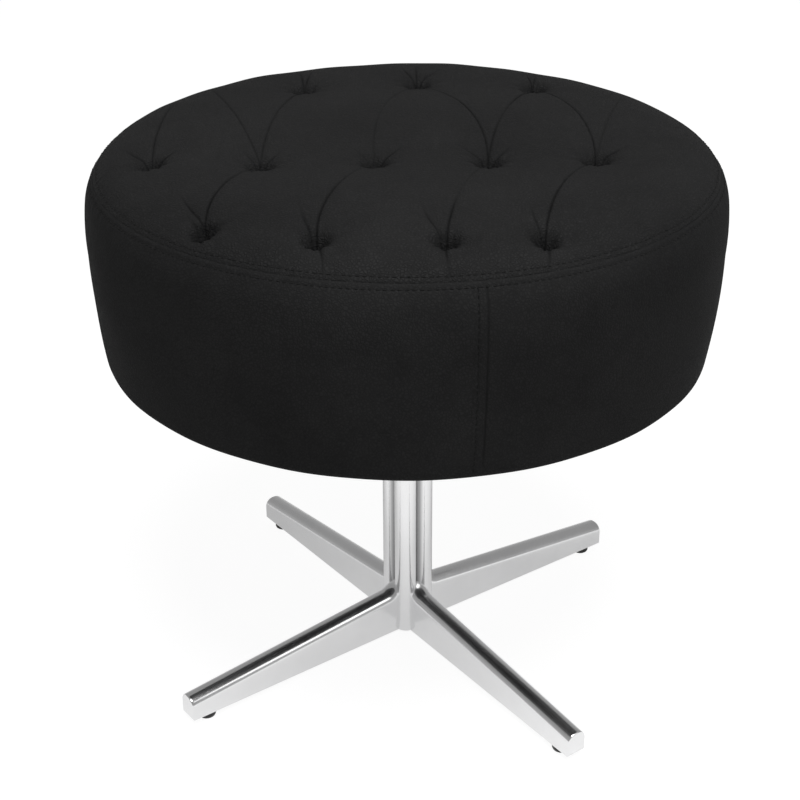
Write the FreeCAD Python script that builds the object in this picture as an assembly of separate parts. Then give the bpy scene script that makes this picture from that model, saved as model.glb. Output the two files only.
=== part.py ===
import FreeCAD, Part
import math
import os

from FreeCAD import Vector

# A round tufted pouf that turns on a lobed chrome column with four legs.
# The origin is on the floor under the column, +Z is up, and -Y is the front.
# All sizes are in millimetres, and all angles in degrees.

# Clearances
SLIDE_GAP = 0.05
SOFT_GAP = 0.3
WELD_GAP = 0.05

# Glides under the leg tips
GLIDE_INSET = 18.0
GLIDE_RADIUS = 8.0
GLIDE_HEIGHT = 7.0
GLIDE_EDGE = 2.0
GLIDE_STEM_RADIUS = 3.0
GLIDE_STEM_LENGTH = 9.0

# Legs: inverted channels with a rounded ridge that sweeps up into a groove of the column
LEG_COUNT = 4
LEG_TURN = 36.5
LEG_REACH = 236.0
LEG_WIDTH = 19.0
LEG_WALL = 2.2
LEG_RIDGE_FLAT = 1.0
LEG_TIP_DEPTH = 21.0
LEG_ROOT_DEPTH = 41.0
LEG_ROOT_LIFT = 2.0
LEG_SWEEP = 16.0
LEG_SINK = 0.5
FOOT_BLOCK_LENGTH = 30.0
FOOT_BLOCK_HEIGHT = 12.0

# Column: four lobes that stand between the legs
LOBE_RADIUS = 10.2
LOBE_OFFSET = 12.3
COLUMN_WALL = 1.8
COLUMN_FOOT_Z = 10.0
COLUMN_LENGTH = 262.0
PLUG_HEAD = 2.0
PLUG_DEPTH = 8.0

# Swivel: a spindle in two bushes, carried by a thrust bearing
SPINDLE_RADIUS = 8.0
SPINDLE_LENGTH = 266.0
TUBE_WALL = 2.0
BUSH_WALL = 2.0
BUSH_LENGTH = 28.0
BUSH_FLANGE_STAND = 8.0
BUSH_FLANGE_RADIUS = SPINDLE_RADIUS + BUSH_FLANGE_STAND
BUSH_FLANGE = 3.0
CLIP_THICKNESS = 1.2
CLIP_DEPTH = 0.8
CLIP_STAND = 1.4
CLIP_RADIUS = SPINDLE_RADIUS + CLIP_STAND
CLIP_MOUTH = 7.0
CLIP_END = 6.0
WASHER_THICKNESS = 1.5
WASHER_STAND = 1.7
WASHER_RADIUS = SPINDLE_RADIUS + WASHER_STAND
BALL_COUNT = 12
BALL_RADIUS = 2.4
BALL_STAND = 4.0
BALL_CIRCLE = SPINDLE_RADIUS + BALL_STAND
RACE_GAP = 0.4
RACE_WALL = 7.1
RACE_INNER = SPINDLE_RADIUS + RACE_GAP
RACE_OUTER = RACE_INNER + RACE_WALL
RACE_THICKNESS = 3.0
RACE_SPACE = 3.4
CAGE_THICKNESS = 2.2
CAGE_GAP = 0.9
CAGE_WALL = 6.2
CAGE_INNER = SPINDLE_RADIUS + CAGE_GAP
CAGE_OUTER = CAGE_INNER + CAGE_WALL
HUB_WALL = 10.0
HUB_RADIUS = SPINDLE_RADIUS + HUB_WALL
HUB_HEIGHT = 18.0

# Mounting plate and its fasteners
PLATE_WIDTH = 160.0
PLATE_CORNER = 16.0
PLATE_THICKNESS = 4.0
BOLT_SPACING = 124.0
BOLT_RADIUS = 4.0
BOLT_HEAD_FLATS = 13.0
BOLT_HEAD_HEIGHT = 5.3
BOLT_WASHER_RADIUS = 8.0
BOLT_WASHER_THICKNESS = 1.6
NUT_FLANGE_RADIUS = 11.0
NUT_FLANGE = 1.5
NUT_BARREL_WALL = 1.0
BOLT_SPARE = 3.0

# Wooden frame inside the seat
BOARD_RADIUS = 240.0
BASE_BOARD = 15.0
TOP_BOARD = 12.0
HOOP_HEIGHT = 75.0
HOOP_WALL = 4.0
POST_COUNT = 6
POST_RADIAL = 30.0
POST_WIDTH = 40.0
POST_REACH = 212.0
POST_TURN = 25.5
SCREW_RADIUS = 2.0
SCREW_HEAD_RADIUS = 4.5
SCREW_HEAD_DEPTH = 3.0
SCREW_LENGTH = 40.0

# Upholstery: radii from the axis, and rises above the base board's underside
COVER = 1.2
SEAT_RADIUS = 259.5
SEAT_WIDEST_RISE = 95.0
BAND_MIDDLE_RADIUS = 258.5
BAND_MIDDLE_RISE = 56.0
BAND_LOW_RADIUS = 253.0
BAND_LOW_RISE = 7.0
BAND_CORNER_RADIUS = 244.0
ROLL_RADIUS = 258.6
ROLL_RISE = 132.0
SEAM_RADIUS = 254.0
SEAM_RISE = 145.6
HEM_RADIUS = 205.0
DUST_COVER = 0.8
DUST_OUTER = 232.0
DUST_INNER = 120.0
STAPLE_COUNT = 24
STAPLE_CIRCLE = 219.0
STAPLE_WIDTH = 10.0
STAPLE_LEG = 9.0
STAPLE_WIRE = 0.7

# Tufted top: its level middle, its shoulder and its crown, as rises above the seam
CROWN_RISE = 30.0
CROWN_RADIUS = 190.0
SHOULDER_RADIUS = 235.0
SHOULDER_RISE = 22.0
TUFT_RADIUS = 9.0
TUFT_FLOOR_RISE = 3.0
TUFT_FLANK = 20.0
TUFT_FLANK_LIFT = 1.0
PLEAT_RADIUS = 12.0
PLEAT_DEPTH = 5.0
RIM_PLEAT_RISE = 1.0
PLEAT_EASE = 1.0
BUTTON_GAP = 0.5
BUTTON_HEIGHT = 6.0
BUTTON_EDGE = 2.0
TWINE_RADIUS = 0.8
TWINE_GAP = 0.4
KNOT_RADIUS = 2.4
ANCHOR_RADIUS = 8.0
ANCHOR_THICKNESS = 3.0

# Tufts by row, as places on the top seen from above
TUFTS = {
    "front_1": (-144.0, -174.0),
    "front_2": (-63.0, -207.0),
    "front_3": (27.0, -211.0),
    "front_4": (96.0, -203.0),
    "middle_1": (-198.0, -54.0),
    "middle_2": (-113.0, -60.0),
    "middle_3": (-25.0, -54.0),
    "middle_4": (63.0, -54.0),
    "middle_5": (147.0, -49.0),
    "back_1": (-91.0, 142.0),
    "back_2": (9.0, 160.0),
    "back_3": (112.0, 146.0),
}

# Pleats folded from tuft to tuft
PLEATS = (
    ("front_1", "middle_2"),
    ("front_2", "middle_3"),
    ("front_3", "middle_4"),
    ("front_4", "middle_5"),
    ("middle_2", "back_1"),
    ("middle_3", "back_2"),
    ("middle_4", "back_2"),
    ("middle_4", "back_3"),
    ("middle_5", "back_3"),
)

# Pleats that run from a tuft out to the rim, with the direction of each
RIM_PLEATS = (
    ("front_2", 275.0),
    ("front_3", 275.0),
    ("front_4", 272.0),
    ("middle_1", 77.0),
    ("middle_2", 98.0),
    ("middle_5", 75.0),
    ("back_1", 95.0),
    ("back_2", 90.0),
    ("back_3", 85.0),
)

# Heights and radii that follow from the sizes above
COLUMN_TOP = COLUMN_FOOT_Z + COLUMN_LENGTH
COLUMN_REACH = LOBE_OFFSET + LOBE_RADIUS
LOBE_AXIS = LOBE_OFFSET * math.cos(math.radians(45.0))
GROOVE_REACH = LOBE_AXIS + math.sqrt(LOBE_RADIUS ** 2 - LOBE_AXIS ** 2)
TUBE_BORE = SPINDLE_RADIUS + SLIDE_GAP + BUSH_WALL
TUBE_RADIUS = TUBE_BORE + TUBE_WALL
BUSH_BORE = SPINDLE_RADIUS + SLIDE_GAP
RACE_Z = COLUMN_TOP + BUSH_FLANGE
BALL_Z = RACE_Z + RACE_THICKNESS + RACE_SPACE / 2
UPPER_RACE_Z = RACE_Z + RACE_THICKNESS + RACE_SPACE
HUB_Z = UPPER_RACE_Z + RACE_THICKNESS
PLATE_Z = HUB_Z + HUB_HEIGHT
BOARD_Z = PLATE_Z + PLATE_THICKNESS
SPINDLE_END = BOARD_Z - SPINDLE_LENGTH
CLIP_Z = SPINDLE_END + CLIP_END
SPINDLE_WASHER_Z = CLIP_Z + CLIP_THICKNESS + SLIDE_GAP
LOWER_BUSH_Z = SPINDLE_WASHER_Z + WASHER_THICKNESS + SOFT_GAP
HOOP_Z = BOARD_Z + BASE_BOARD
TOP_BOARD_Z = HOOP_Z + HOOP_HEIGHT
FOAM_Z = TOP_BOARD_Z + TOP_BOARD
SEAM_Z = BOARD_Z + SEAM_RISE
CROWN_Z = SEAM_Z + CROWN_RISE
TUFT_FLOOR_Z = SEAM_Z + TUFT_FLOOR_RISE
LEG_TIP_TOP = GLIDE_HEIGHT + LEG_TIP_DEPTH
LEG_ROOT_TOP = GLIDE_HEIGHT + LEG_ROOT_LIFT + LEG_ROOT_DEPTH
GLIDE_REACH = LEG_REACH - GLIDE_INSET
LEG_RIDGE_ROUND = LEG_WIDTH / 2 - LEG_RIDGE_FLAT
LEG_SLOPE = (LEG_ROOT_TOP - LEG_TIP_TOP) / (LEG_REACH - COLUMN_REACH)

ARC_SAG = 1.0 - math.cos(math.radians(45.0))
UP = Vector(0, 0, 1)
ORIGIN = Vector(0, 0, 0)


# Shared shapes

def profile(start, *steps):
    """A closed face in the XZ plane. A step of one point is a line, and of two an arc."""
    edges = []
    here = Vector(start[0], 0, start[1])
    for step in steps:
        points = [Vector(x, 0, z) for x, z in step]
        if len(points) == 1:
            edges.append(Part.makeLine(here, points[0]))
        else:
            edges.append(Part.Arc(here, points[0], points[1]).toShape())
        here = points[-1]
    return Part.Face(Part.Wire(edges))


def turned(start, *steps):
    """A solid of revolution about the column's axis."""
    return profile(start, *steps).revolve(ORIGIN, UP, 360)


def ring(inner, outer, bottom, height):
    """A plain ring about the column's axis."""
    body = Part.makeCylinder(outer, height, Vector(0, 0, bottom))
    return body.cut(Part.makeCylinder(inner, height, Vector(0, 0, bottom)))


def disc(radius, height, x, y, bottom):
    """An upright cylinder."""
    return Part.makeCylinder(radius, height, Vector(x, y, bottom))


def around(shape, azimuth):
    """A copy of a shape turned about the column's axis."""
    copy = shape.copy()
    copy.rotate(ORIGIN, UP, azimuth)
    return copy


def pattern(shape, count, first=0.0):
    """Copies of a shape spread evenly about the column's axis."""
    return [around(shape, first + 360.0 * index / count) for index in range(count)]


def cut_each(body, tools):
    """Cuts the tools out of a body one after another."""
    for tool in tools:
        body = body.cut(tool)
    return body


def save(name, *solids):
    """Writes one node, which may be a group of separate solids."""
    shape = solids[0] if len(solids) == 1 else Part.makeCompound(list(solids))
    shape.exportStep(os.path.join("parts", name + ".step"))
    volume = sum(solid.Volume for solid in shape.Solids)
    print("%-20s %2d solids %12.1f mm3 valid %s" % (name, len(shape.Solids), volume, shape.isValid()))


# Base: the column, its legs and its glides

def lobed_prism(lobe_radius, core_radius, bottom, height):
    """Four lobes that run into a middle core."""
    centres = [Vector(LOBE_AXIS * x, LOBE_AXIS * y, bottom) for x, y in ((1, 1), (-1, 1), (-1, -1), (1, -1))]
    lobes = [Part.makeCylinder(lobe_radius, height, centre) for centre in centres]
    core = Part.makeCylinder(core_radius, height, Vector(0, 0, bottom))
    return core.fuse(lobes).removeSplitter()


def column_tube():
    """The pressed tube with its four lobes, open at both ends."""
    outside = lobed_prism(LOBE_RADIUS, LOBE_OFFSET, COLUMN_FOOT_Z, COLUMN_LENGTH)
    inside = lobed_prism(LOBE_RADIUS - COLUMN_WALL, TUBE_RADIUS + WELD_GAP, COLUMN_FOOT_Z, COLUMN_LENGTH)
    return outside.cut(inside)


def bearing_tube():
    """The round tube inside the lobes that holds the bushes."""
    return ring(TUBE_BORE, TUBE_RADIUS, COLUMN_FOOT_Z, COLUMN_LENGTH)


def column_plug():
    """A plug pressed into the tube's lower end."""
    stem = disc(TUBE_BORE - SLIDE_GAP, PLUG_DEPTH, 0, 0, COLUMN_FOOT_Z)
    return stem.fuse(disc(TUBE_RADIUS, PLUG_HEAD, 0, 0, COLUMN_FOOT_Z - PLUG_HEAD))


def ridge_z(reach):
    """Height of a leg's ridge line at a distance from the column's axis."""
    return LEG_TIP_TOP + LEG_SLOPE * (LEG_REACH - reach)


def arch(reach, inset, depth):
    """A leg's section across its ridge line: straight sides under a rounded top."""
    tilt = math.atan(LEG_SLOPE)
    across = Vector(0, 1, 0)
    upward = Vector(math.sin(tilt), 0, math.cos(tilt))
    top = Vector(reach, 0, ridge_z(reach)) - upward * inset
    half = LEG_WIDTH / 2 - inset
    radius = LEG_RIDGE_ROUND - inset
    slant = radius * (1 - math.sin(math.radians(45.0)))
    places = ((half, -depth), (half, -radius), (half - slant, -slant), (half - radius, 0))
    right = [top + across * y + upward * z for y, z in places]
    left = [top - across * y + upward * z for y, z in places]
    edges = [Part.makeLine(left[0], right[0]), Part.makeLine(right[0], right[1])]
    edges.append(Part.Arc(right[1], right[2], right[3]).toShape())
    edges.append(Part.makeLine(right[3], left[3]))
    edges.append(Part.Arc(left[3], left[2], left[1]).toShape())
    edges.append(Part.makeLine(left[1], left[0]))
    return Part.Face(Part.Wire(edges))


def ridge_bar(inset, near, far, lower):
    """A bar with the rounded ridge on top, cut square at both ends and to a lower line."""
    run = Vector(far - near, 0, ridge_z(far) - ridge_z(near))
    bar = arch(near - LEG_WIDTH, inset, 2 * LEG_ROOT_DEPTH).extrude(run * 2)
    above = ridge_z(0) + LEG_ROOT_DEPTH
    side = profile((near, lower[0]), ((far, lower[1]),), ((far, above),), ((near, above),), ((near, lower[0]),))
    side.translate(Vector(0, -LEG_WIDTH, 0))
    return bar.common(side.extrude(Vector(0, 2 * LEG_WIDTH, 0)))


def leg_outside():
    """The leg's outer form along +X, with its ridge swept up into the column's groove."""
    tilt = math.atan(LEG_SLOPE)
    sweep_x = GROOVE_REACH - LEG_SINK + LEG_SWEEP
    sweep_z = ridge_z(sweep_x) + LEG_SWEEP / math.cos(tilt)
    foot = sweep_x - LEG_SWEEP * math.sin(tilt)
    section = arch(foot, 0, LEG_SWEEP)
    sweep = section.revolve(Vector(sweep_x, 0, sweep_z), Vector(0, 1, 0), 90.0 - math.degrees(tilt))
    bar = ridge_bar(0, LOBE_AXIS, LEG_REACH, (GLIDE_HEIGHT + LEG_ROOT_LIFT, GLIDE_HEIGHT))
    return bar.fuse(sweep)


def leg_channel():
    """The hollow of a leg, open below."""
    return ridge_bar(LEG_WALL, COLUMN_REACH + LEG_WALL, LEG_REACH - LEG_WALL, (0, 0))


def leg():
    """One leg along +X, fitted to the column's lobes."""
    column = lobed_prism(LOBE_RADIUS + WELD_GAP, LOBE_OFFSET, 0, COLUMN_TOP)
    return leg_outside().cut(leg_channel()).cut(column)


def foot_block():
    """The block inside a leg's tip that takes the glide's stem."""
    width = LEG_WIDTH - 2 * LEG_WALL - 2 * WELD_GAP
    far = LEG_REACH - LEG_WALL - WELD_GAP
    corner = Vector(far - FOOT_BLOCK_LENGTH, -width / 2, GLIDE_HEIGHT)
    block = Part.makeBox(FOOT_BLOCK_LENGTH, width, FOOT_BLOCK_HEIGHT, corner)
    hole = disc(GLIDE_STEM_RADIUS + SLIDE_GAP, FOOT_BLOCK_HEIGHT, GLIDE_REACH, 0, GLIDE_HEIGHT)
    return block.cut(hole)


def glide():
    """A plastic glide: a pad with a rounded lower edge, and the stem that is pressed in."""
    pad = disc(GLIDE_RADIUS, GLIDE_HEIGHT, GLIDE_REACH, 0, 0)
    lower = [edge for edge in pad.Edges if edge.BoundBox.ZMax < 1e-6]
    pad = pad.makeFillet(GLIDE_EDGE, lower)
    return pad.fuse(disc(GLIDE_STEM_RADIUS, GLIDE_STEM_LENGTH, GLIDE_REACH, 0, GLIDE_HEIGHT))


def build_base():
    """Writes the standing half of the pouf."""
    save("column_tube", around(column_tube(), LEG_TURN))
    save("bearing_tube", bearing_tube())
    save("column_plug", column_plug())
    for index, shape in enumerate(pattern(leg(), LEG_COUNT, LEG_TURN)):
        save("leg_%d" % (index + 1), shape)
    save("foot_blocks", *pattern(foot_block(), LEG_COUNT, LEG_TURN))
    for index, shape in enumerate(pattern(glide(), LEG_COUNT, LEG_TURN)):
        save("glide_%d" % (index + 1), shape)


# Swivel: bushes, thrust bearing, spindle and mounting plate

def race(bottom):
    """A bearing washer with its ball groove."""
    groove = Part.makeTorus(BALL_CIRCLE, BALL_RADIUS + SOFT_GAP, Vector(0, 0, BALL_Z))
    return ring(RACE_INNER, RACE_OUTER, bottom, RACE_THICKNESS).cut(groove)


def bearing_balls():
    """The ring of balls."""
    ball = Part.makeSphere(BALL_RADIUS, Vector(BALL_CIRCLE, 0, BALL_Z))
    return pattern(ball, BALL_COUNT)


def bearing_cage():
    """The flat cage that keeps the balls apart."""
    bottom = BALL_Z - CAGE_THICKNESS / 2
    pocket = disc(BALL_RADIUS + SLIDE_GAP, CAGE_THICKNESS, BALL_CIRCLE, 0, bottom)
    return cut_each(ring(CAGE_INNER, CAGE_OUTER, bottom, CAGE_THICKNESS), pattern(pocket, BALL_COUNT))


def upper_bush():
    """The flanged bush in the tube's top."""
    sleeve = ring(BUSH_BORE, TUBE_BORE - SLIDE_GAP / 2, COLUMN_TOP - BUSH_LENGTH, BUSH_LENGTH)
    flange = ring(BUSH_BORE, BUSH_FLANGE_RADIUS, COLUMN_TOP, BUSH_FLANGE)
    return sleeve.fuse(flange).removeSplitter()


def lower_bush():
    """The plain bush near the tube's foot."""
    return ring(BUSH_BORE, TUBE_BORE - SLIDE_GAP / 2, LOWER_BUSH_Z, BUSH_LENGTH)


def spindle():
    """The shaft, with a groove for its clip near the lower end."""
    shaft = disc(SPINDLE_RADIUS, SPINDLE_LENGTH, 0, 0, SPINDLE_END)
    slack = CLIP_THICKNESS + 2 * SLIDE_GAP
    groove = ring(SPINDLE_RADIUS - CLIP_DEPTH, CLIP_RADIUS, CLIP_Z - SLIDE_GAP, slack)
    return shaft.cut(groove)


def spindle_clip():
    """The open spring clip in the groove."""
    clip = ring(SPINDLE_RADIUS - CLIP_DEPTH + SLIDE_GAP, CLIP_RADIUS, CLIP_Z, CLIP_THICKNESS)
    mouth = Part.makeBox(CLIP_RADIUS, CLIP_MOUTH, CLIP_THICKNESS, Vector(0, -CLIP_MOUTH / 2, CLIP_Z))
    return clip.cut(mouth)


def mounting_plate():
    """The square plate under the seat, with its four bolt holes."""
    half = PLATE_WIDTH / 2
    plate = Part.makeBox(PLATE_WIDTH, PLATE_WIDTH, PLATE_THICKNESS, Vector(-half, -half, PLATE_Z))
    upright = [edge for edge in plate.Edges if edge.BoundBox.ZLength > PLATE_THICKNESS / 2]
    plate = plate.makeFillet(PLATE_CORNER, upright)
    holes = [disc(BOLT_RADIUS + SOFT_GAP, PLATE_THICKNESS, x, y, PLATE_Z) for x, y in bolt_places()]
    return cut_each(plate.cut(disc(BUSH_BORE, PLATE_THICKNESS, 0, 0, PLATE_Z)), holes)


def bolt_places():
    """Places of the four plate bolts."""
    half = BOLT_SPACING / 2
    return [(half, half), (-half, half), (-half, -half), (half, -half)]


def plate_bolt(x, y):
    """A hexagon bolt that comes up through the plate and the board."""
    washer_z = PLATE_Z - BOLT_WASHER_THICKNESS
    corner = BOLT_HEAD_FLATS / math.sqrt(3.0)
    points = [Vector(x + corner * math.cos(math.radians(60.0 * i)), y + corner * math.sin(math.radians(60.0 * i)),
                     washer_z - BOLT_HEAD_HEIGHT) for i in range(7)]
    head = Part.Face(Part.makePolygon(points)).extrude(Vector(0, 0, BOLT_HEAD_HEIGHT))
    length = HOOP_Z + NUT_FLANGE + BOLT_SPARE - washer_z
    return head.fuse(disc(BOLT_RADIUS, length, x, y, washer_z))


def plate_washer(x, y):
    """A flat washer under a bolt's head."""
    bottom = PLATE_Z - BOLT_WASHER_THICKNESS
    washer = disc(BOLT_WASHER_RADIUS, BOLT_WASHER_THICKNESS, x, y, bottom)
    return washer.cut(disc(BOLT_RADIUS + SLIDE_GAP, BOLT_WASHER_THICKNESS, x, y, bottom))


def plate_nut(x, y):
    """A flanged insert nut let into the board from above."""
    barrel = disc(BOLT_RADIUS + NUT_BARREL_WALL, BASE_BOARD, x, y, BOARD_Z)
    flange = disc(NUT_FLANGE_RADIUS, NUT_FLANGE, x, y, HOOP_Z)
    bore = disc(BOLT_RADIUS + SLIDE_GAP, BASE_BOARD + NUT_FLANGE, x, y, BOARD_Z)
    return barrel.fuse(flange).cut(bore)


def build_swivel():
    """Writes the bearing, the spindle and the plate with its fasteners."""
    save("upper_bush", upper_bush())
    save("lower_bush", lower_bush())
    save("bearing_lower_race", race(RACE_Z))
    save("bearing_balls", *bearing_balls())
    save("bearing_cage", bearing_cage())
    save("bearing_upper_race", race(UPPER_RACE_Z))
    save("spindle", spindle())
    save("spindle_washer", ring(BUSH_BORE, WASHER_RADIUS, SPINDLE_WASHER_Z, WASHER_THICKNESS))
    save("spindle_clip", spindle_clip())
    save("spindle_hub", ring(BUSH_BORE, HUB_RADIUS, HUB_Z, HUB_HEIGHT))
    save("mounting_plate", mounting_plate())
    save("plate_bolts", *[plate_bolt(x, y) for x, y in bolt_places()])
    save("plate_washers", *[plate_washer(x, y) for x, y in bolt_places()])
    save("plate_nuts", *[plate_nut(x, y) for x, y in bolt_places()])


# Wooden frame

def frame_screw(gap, upward):
    """A countersunk screw through a board into a post, at rest along +X, with room all round."""
    face = BOARD_Z if upward else FOAM_Z
    way = 1 if upward else -1
    head = face + way * SCREW_HEAD_DEPTH
    end = face + way * SCREW_LENGTH
    radius = SCREW_RADIUS + gap
    shape = turned((0, face), ((SCREW_HEAD_RADIUS + gap, face),), ((radius, head),), ((radius, end),),
                   ((0, end),), ((0, face),))
    shape.translate(Vector(POST_REACH, 0, 0))
    return shape


def screws(gap, upward):
    """The screws of one board."""
    return pattern(frame_screw(gap, upward), POST_COUNT, POST_TURN)


def base_board():
    """The lower board, drilled for the insert nuts and the screws."""
    board = disc(BOARD_RADIUS, BASE_BOARD, 0, 0, BOARD_Z)
    radius = BOLT_RADIUS + NUT_BARREL_WALL + SLIDE_GAP
    holes = [disc(radius, BASE_BOARD, x, y, BOARD_Z) for x, y in bolt_places()]
    return cut_each(board, holes + screws(SLIDE_GAP, True))


def top_board():
    """The upper board, drilled for the twines and the screws."""
    board = disc(BOARD_RADIUS, TOP_BOARD, 0, 0, TOP_BOARD_Z)
    holes = [disc(TWINE_RADIUS + TWINE_GAP, TOP_BOARD, x, y, TOP_BOARD_Z) for x, y in TUFTS.values()]
    return cut_each(board, holes + screws(SLIDE_GAP, False))


def frame_posts():
    """Posts that carry the upper board."""
    corner = Vector(POST_REACH - POST_RADIAL / 2, -POST_WIDTH / 2, HOOP_Z)
    post = Part.makeBox(POST_RADIAL, POST_WIDTH, HOOP_HEIGHT, corner)
    post = post.cut(frame_screw(SLIDE_GAP, True)).cut(frame_screw(SLIDE_GAP, False))
    return pattern(post, POST_COUNT, POST_TURN)


def build_frame():
    """Writes the wooden frame."""
    save("base_board", base_board())
    save("frame_posts", *frame_posts())
    save("side_hoop", ring(BOARD_RADIUS - HOOP_WALL, BOARD_RADIUS, HOOP_Z, HOOP_HEIGHT))
    save("top_board", top_board())
    save("frame_screws", *(screws(0, True) + screws(0, False)))


# Upholstery

def side_form(inset, *lid):
    """The side's form, drawn in below and rolled in at the seam, closed above by the lid's points."""
    bottom = BOARD_Z - COVER + inset
    corner = (BAND_CORNER_RADIUS, bottom)
    low = (BAND_LOW_RADIUS - inset, BOARD_Z + BAND_LOW_RISE)
    bend = (low[0] - (low[0] - corner[0]) * ARC_SAG, bottom + (low[1] - bottom) * ARC_SAG)
    middle = (BAND_MIDDLE_RADIUS - inset, BOARD_Z + BAND_MIDDLE_RISE)
    widest = (SEAT_RADIUS - inset, BOARD_Z + SEAT_WIDEST_RISE)
    roll = (ROLL_RADIUS - inset, BOARD_Z + ROLL_RISE)
    seam = (SEAM_RADIUS - inset, SEAM_Z)
    return turned((0, bottom), (corner,), (bend, low), (middle, widest), (roll, seam),
                  *[(point,) for point in lid], ((0, bottom),))


def side_band():
    """The side cover, with a hem turned under the board."""
    lid_z = SEAM_Z + COVER
    inside = side_form(COVER, (SEAM_RADIUS - COVER, lid_z), (0, lid_z))
    band = side_form(0, (0, SEAM_Z)).cut(inside)
    return band.cut(disc(HEM_RADIUS, COVER, 0, 0, BOARD_Z - COVER))


def side_foam():
    """The padding between the wooden frame and the side cover."""
    frame = disc(BOARD_RADIUS + SOFT_GAP, SEAM_Z, 0, 0, 0)
    return side_form(COVER + SOFT_GAP, (0, SEAM_Z)).cut(frame)


def bowed(start, end, lean):
    """The middle of an arc, and its slope there, where the arc starts at a slope below the level."""
    across = end[0] - start[0]
    down = start[1] - end[1]
    slope = math.atan2(down, across)
    sag = math.hypot(across, down) / 2 * math.tan((slope - lean) / 2)
    middle = ((start[0] + end[0]) / 2 + sag * math.sin(slope), (start[1] + end[1]) / 2 + sag * math.cos(slope))
    return middle, slope


def sunk(point, slope, inset):
    """A point of the crown moved inwards, square to its slope."""
    return (point[0] - inset * math.sin(slope), point[1] - inset * math.cos(slope))


def crown_z(x, y):
    """Height of the untufted top at a place."""
    fall = CROWN_RISE - SHOULDER_RISE
    width = SHOULDER_RADIUS - CROWN_RADIUS
    radius = (fall ** 2 + width ** 2) / (2 * fall)
    out = max(math.hypot(x, y) - CROWN_RADIUS, 0.0)
    return CROWN_Z - radius + math.sqrt(radius ** 2 - out ** 2)


def crown(inset, *foot):
    """The untufted top, from its foot points up over the shoulder to the level middle."""
    level = (CROWN_RADIUS, CROWN_Z)
    shoulder = (SHOULDER_RADIUS, SEAM_Z + SHOULDER_RISE)
    seam = (SEAM_RADIUS, SEAM_Z)
    upper, upper_slope = bowed(level, shoulder, 0)
    turn = 2 * upper_slope
    roll, roll_slope = bowed(shoulder, seam, turn)
    return turned(foot[0], *[(point,) for point in foot[1:]],
                  (sunk(roll, roll_slope, inset), sunk(shoulder, turn, inset)),
                  (sunk(upper, upper_slope, inset), sunk(level, 0, inset)),
                  ((0, CROWN_Z - inset),), (foot[0],))


def uphill(x, y, step):
    """A place moved towards the axis, where the top is highest."""
    out = math.hypot(x, y)
    share = max(out - step, 0.0) / out
    return (x * share, y * share)


def tuft_pit(x, y, inset):
    """The hollow of one tuft, flared at its mouth like a trumpet."""
    wall = TUFT_RADIUS + inset
    floor = TUFT_FLOOR_Z - inset
    radius = TUFT_FLANK - inset
    mouth = TUFT_RADIUS + TUFT_FLANK
    spring = crown_z(*uphill(x, y, mouth)) - TUFT_FLANK + TUFT_FLANK_LIFT
    slant = radius * math.sin(math.radians(45.0))
    top = CROWN_Z + TUFT_FLANK
    pit = turned((0, floor), ((wall, floor),), ((wall, spring),),
                 ((mouth - slant, spring + slant), (mouth, spring + radius)),
                 ((mouth, top),), ((0, top),), ((0, floor),))
    pit.translate(Vector(x, y, 0))
    return pit


def pleat(start, end, inset, end_depth=PLEAT_DEPTH):
    """The shallow trough of a pleat that follows the crown between two places on the top."""
    middle = ((start[0] + end[0]) / 2, (start[1] + end[1]) / 2)
    depths = (PLEAT_DEPTH, (PLEAT_DEPTH + end_depth) / 2 - PLEAT_EASE, end_depth)
    places = [Vector(x, y, crown_z(x, y) + PLEAT_RADIUS - depth)
              for (x, y), depth in zip((start, middle, end), depths)]
    path = Part.Arc(*places).toShape()
    section = Part.makeCircle(PLEAT_RADIUS + inset, places[0], path.tangentAt(path.FirstParameter))
    return Part.Wire([path]).makePipe(Part.Face(Part.Wire([section])))


def rim_point(tuft, azimuth):
    """Where a line from a tuft meets the seam's circle, seen from above."""
    x, y = TUFTS[tuft]
    across = math.cos(math.radians(azimuth))
    along = math.sin(math.radians(azimuth))
    near = x * across + y * along
    reach = -near + math.sqrt(near ** 2 + SEAM_RADIUS ** 2 - x ** 2 - y ** 2)
    return (x + reach * across, y + reach * along)


def tufted(body, inset):
    """A top with its tufts and pleats pulled in."""
    pits = [tuft_pit(x, y, inset) for x, y in TUFTS.values()]
    pleats = [pleat(TUFTS[first], TUFTS[last], inset) for first, last in PLEATS]
    rim = [pleat(TUFTS[tuft], rim_point(tuft, azimuth), inset, -RIM_PLEAT_RISE)
           for tuft, azimuth in RIM_PLEATS]
    return cut_each(body, pits + pleats + rim)


def twine_holes():
    """Room for the twines, from the board up to the tufts."""
    radius = TWINE_RADIUS + TWINE_GAP
    return [disc(radius, TUFT_FLOOR_Z - FOAM_Z, x, y, FOAM_Z) for x, y in TUFTS.values()]


def top_cover():
    """The tufted top cover, sewn to the side at the seam."""
    outside = tufted(crown(0, (0, SEAM_Z), (SEAM_RADIUS, SEAM_Z)), 0)
    edge = SEAM_RADIUS - COVER
    inside = tufted(crown(COVER, (0, SEAM_Z - COVER), (edge, SEAM_Z - COVER), (edge, SEAM_Z)), COVER)
    return cut_each(outside.cut(inside), twine_holes())


def top_foam():
    """The pad under the top cover, drawn down by the tufts."""
    inset = COVER + SOFT_GAP
    body = crown(inset, (0, FOAM_Z), (BOARD_RADIUS, FOAM_Z), (BOARD_RADIUS, SEAM_Z), (SEAM_RADIUS - inset, SEAM_Z))
    return cut_each(tufted(body, inset), twine_holes())


def dust_cover():
    """The cloth that closes the underside round the plate."""
    return ring(DUST_INNER, DUST_OUTER, BOARD_Z - COVER - DUST_COVER, DUST_COVER)


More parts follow.
